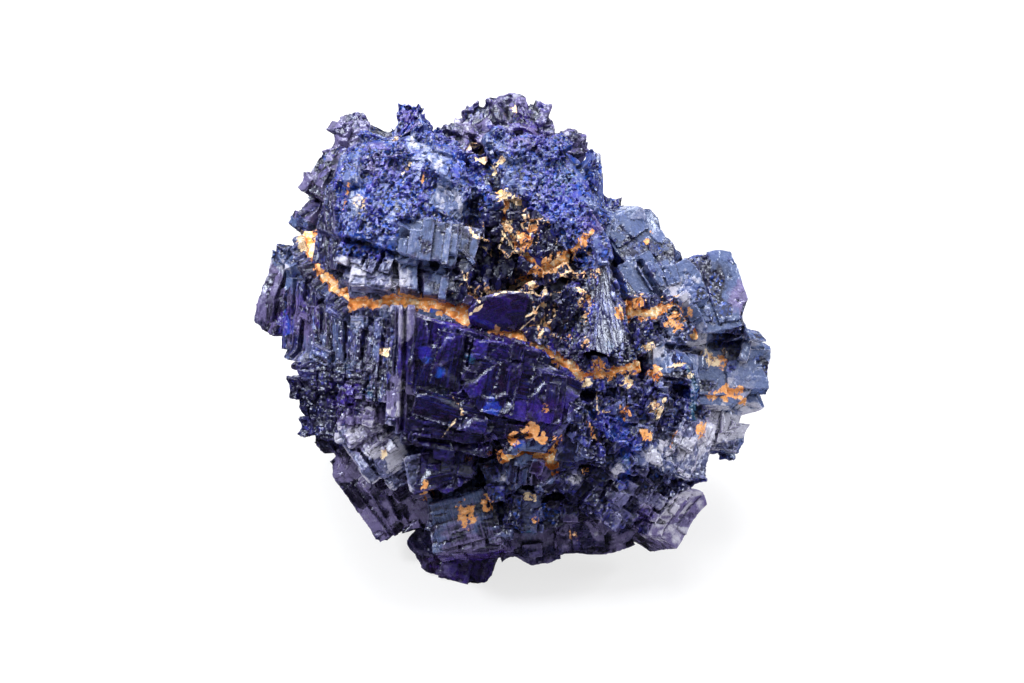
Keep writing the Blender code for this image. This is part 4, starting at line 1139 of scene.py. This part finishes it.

# The clay: soft ochre limonite that washed into the seams and set there in crumbs. It is paler and cream on
# its
# raised lumps and crumbs: partly its own dried cream, partly painted highlight.
ochre_clay, earth = new_material("ochre_clay")
place = earth.place()
lumps = earth.node("TexNoise", Vector=place, Scale=900.0, Detail=5.0, Roughness=0.7)
crumbs = earth.node("TexNoise", Vector=place, Scale=4000.0, Detail=3.0)
# Paler on the raised lumps and cream on the highest crumbs, the same heights that the bump raises: partly the
# clay's own dried cream, partly painted highlight.
body = earth.mix(lumps.rise(0.4, 0.62), rgb(240, 156, 78), rgb(255, 208, 142))
body = earth.mix((crumbs + lumps * 0.6).rise(0.8, 0.95), body, rgb(255, 240, 208))
bump = earth.node("Bump", Strength=0.7, Distance=0.0001, Height=crumbs + lumps)
shader = earth.node("BsdfPrincipled", Base_Color=body, Roughness=0.9, Normal=bump)
earth.node("OutputMaterial", Surface=shader)

CLAY_GRAIN = 0.12
CLAY_SIDES = 10
CLAY_UNDER = 0.35
CLAY_THICK = 0.5
CLAY_SUNK = 0.35
for name, route in SEAMS.items():
    rings = []
    for start, end in zip(route, route[1:]):
        for step in range(4):
            rings.append([a + (b - a) * step / 4 for a, b in zip(start, end)])
    rings.append(list(route[-1]))
    shape = bmesh.new()
    loops = []
    for number, (across, up, out, half) in enumerate(rings):
        ahead = Vector(rings[min(number + 1, len(rings) - 1)][:3])
        behind = Vector(rings[max(number - 1, 0)][:3])
        along = (ahead - behind).normalized()
        side = along.cross(Vector((0, 0, 1))).normalized()
        over = side.cross(along)
        half = (half + CLAY_UNDER) * (1.0 if 0 < number < len(rings) - 1 else 0.5)
        loop = []
        for corner in range(CLAY_SIDES):
            angle = 2 * math.pi * corner / CLAY_SIDES
            spot = side * (math.cos(angle) * half) + over * (math.sin(angle) * CLAY_THICK)
            loop.append(shape.verts.new(Vector((across, up, out - CLAY_SUNK)) + spot))
        loops.append(loop)
    for one, other in zip(loops, loops[1:]):
        for corner in range(CLAY_SIDES):
            beside = (corner + 1) % CLAY_SIDES
            shape.faces.new((one[corner], one[beside], other[beside], other[corner]))
    shape.faces.new(loops[0])
    shape.faces.new(loops[-1])
    bmesh.ops.recalc_face_normals(shape, faces=shape.faces)
    mesh = bpy.data.meshes.new(name)
    shape.to_mesh(mesh)
    shape.free()
    lump = added(name + "_crumbs", mesh)
    mesh.remesh_voxel_size = CLAY_GRAIN
    only(lump)
    bpy.ops.object.voxel_remesh()
    points, normals = rows_of(lump, "co"), rows_of(lump, "normal")
    rise = 0.28 * clouds(points, 0.9, 5) + 0.18 * clouds(points, 0.4, 6) + 0.06 * clouds(points, 0.2, 7)
    lump.data.vertices.foreach_set("co", (points + normals * rise[:, None]).ravel())
    lump.data.update()
    lump.data.materials.append(ochre_clay)
    settle(lump, "ochre_clay", name)
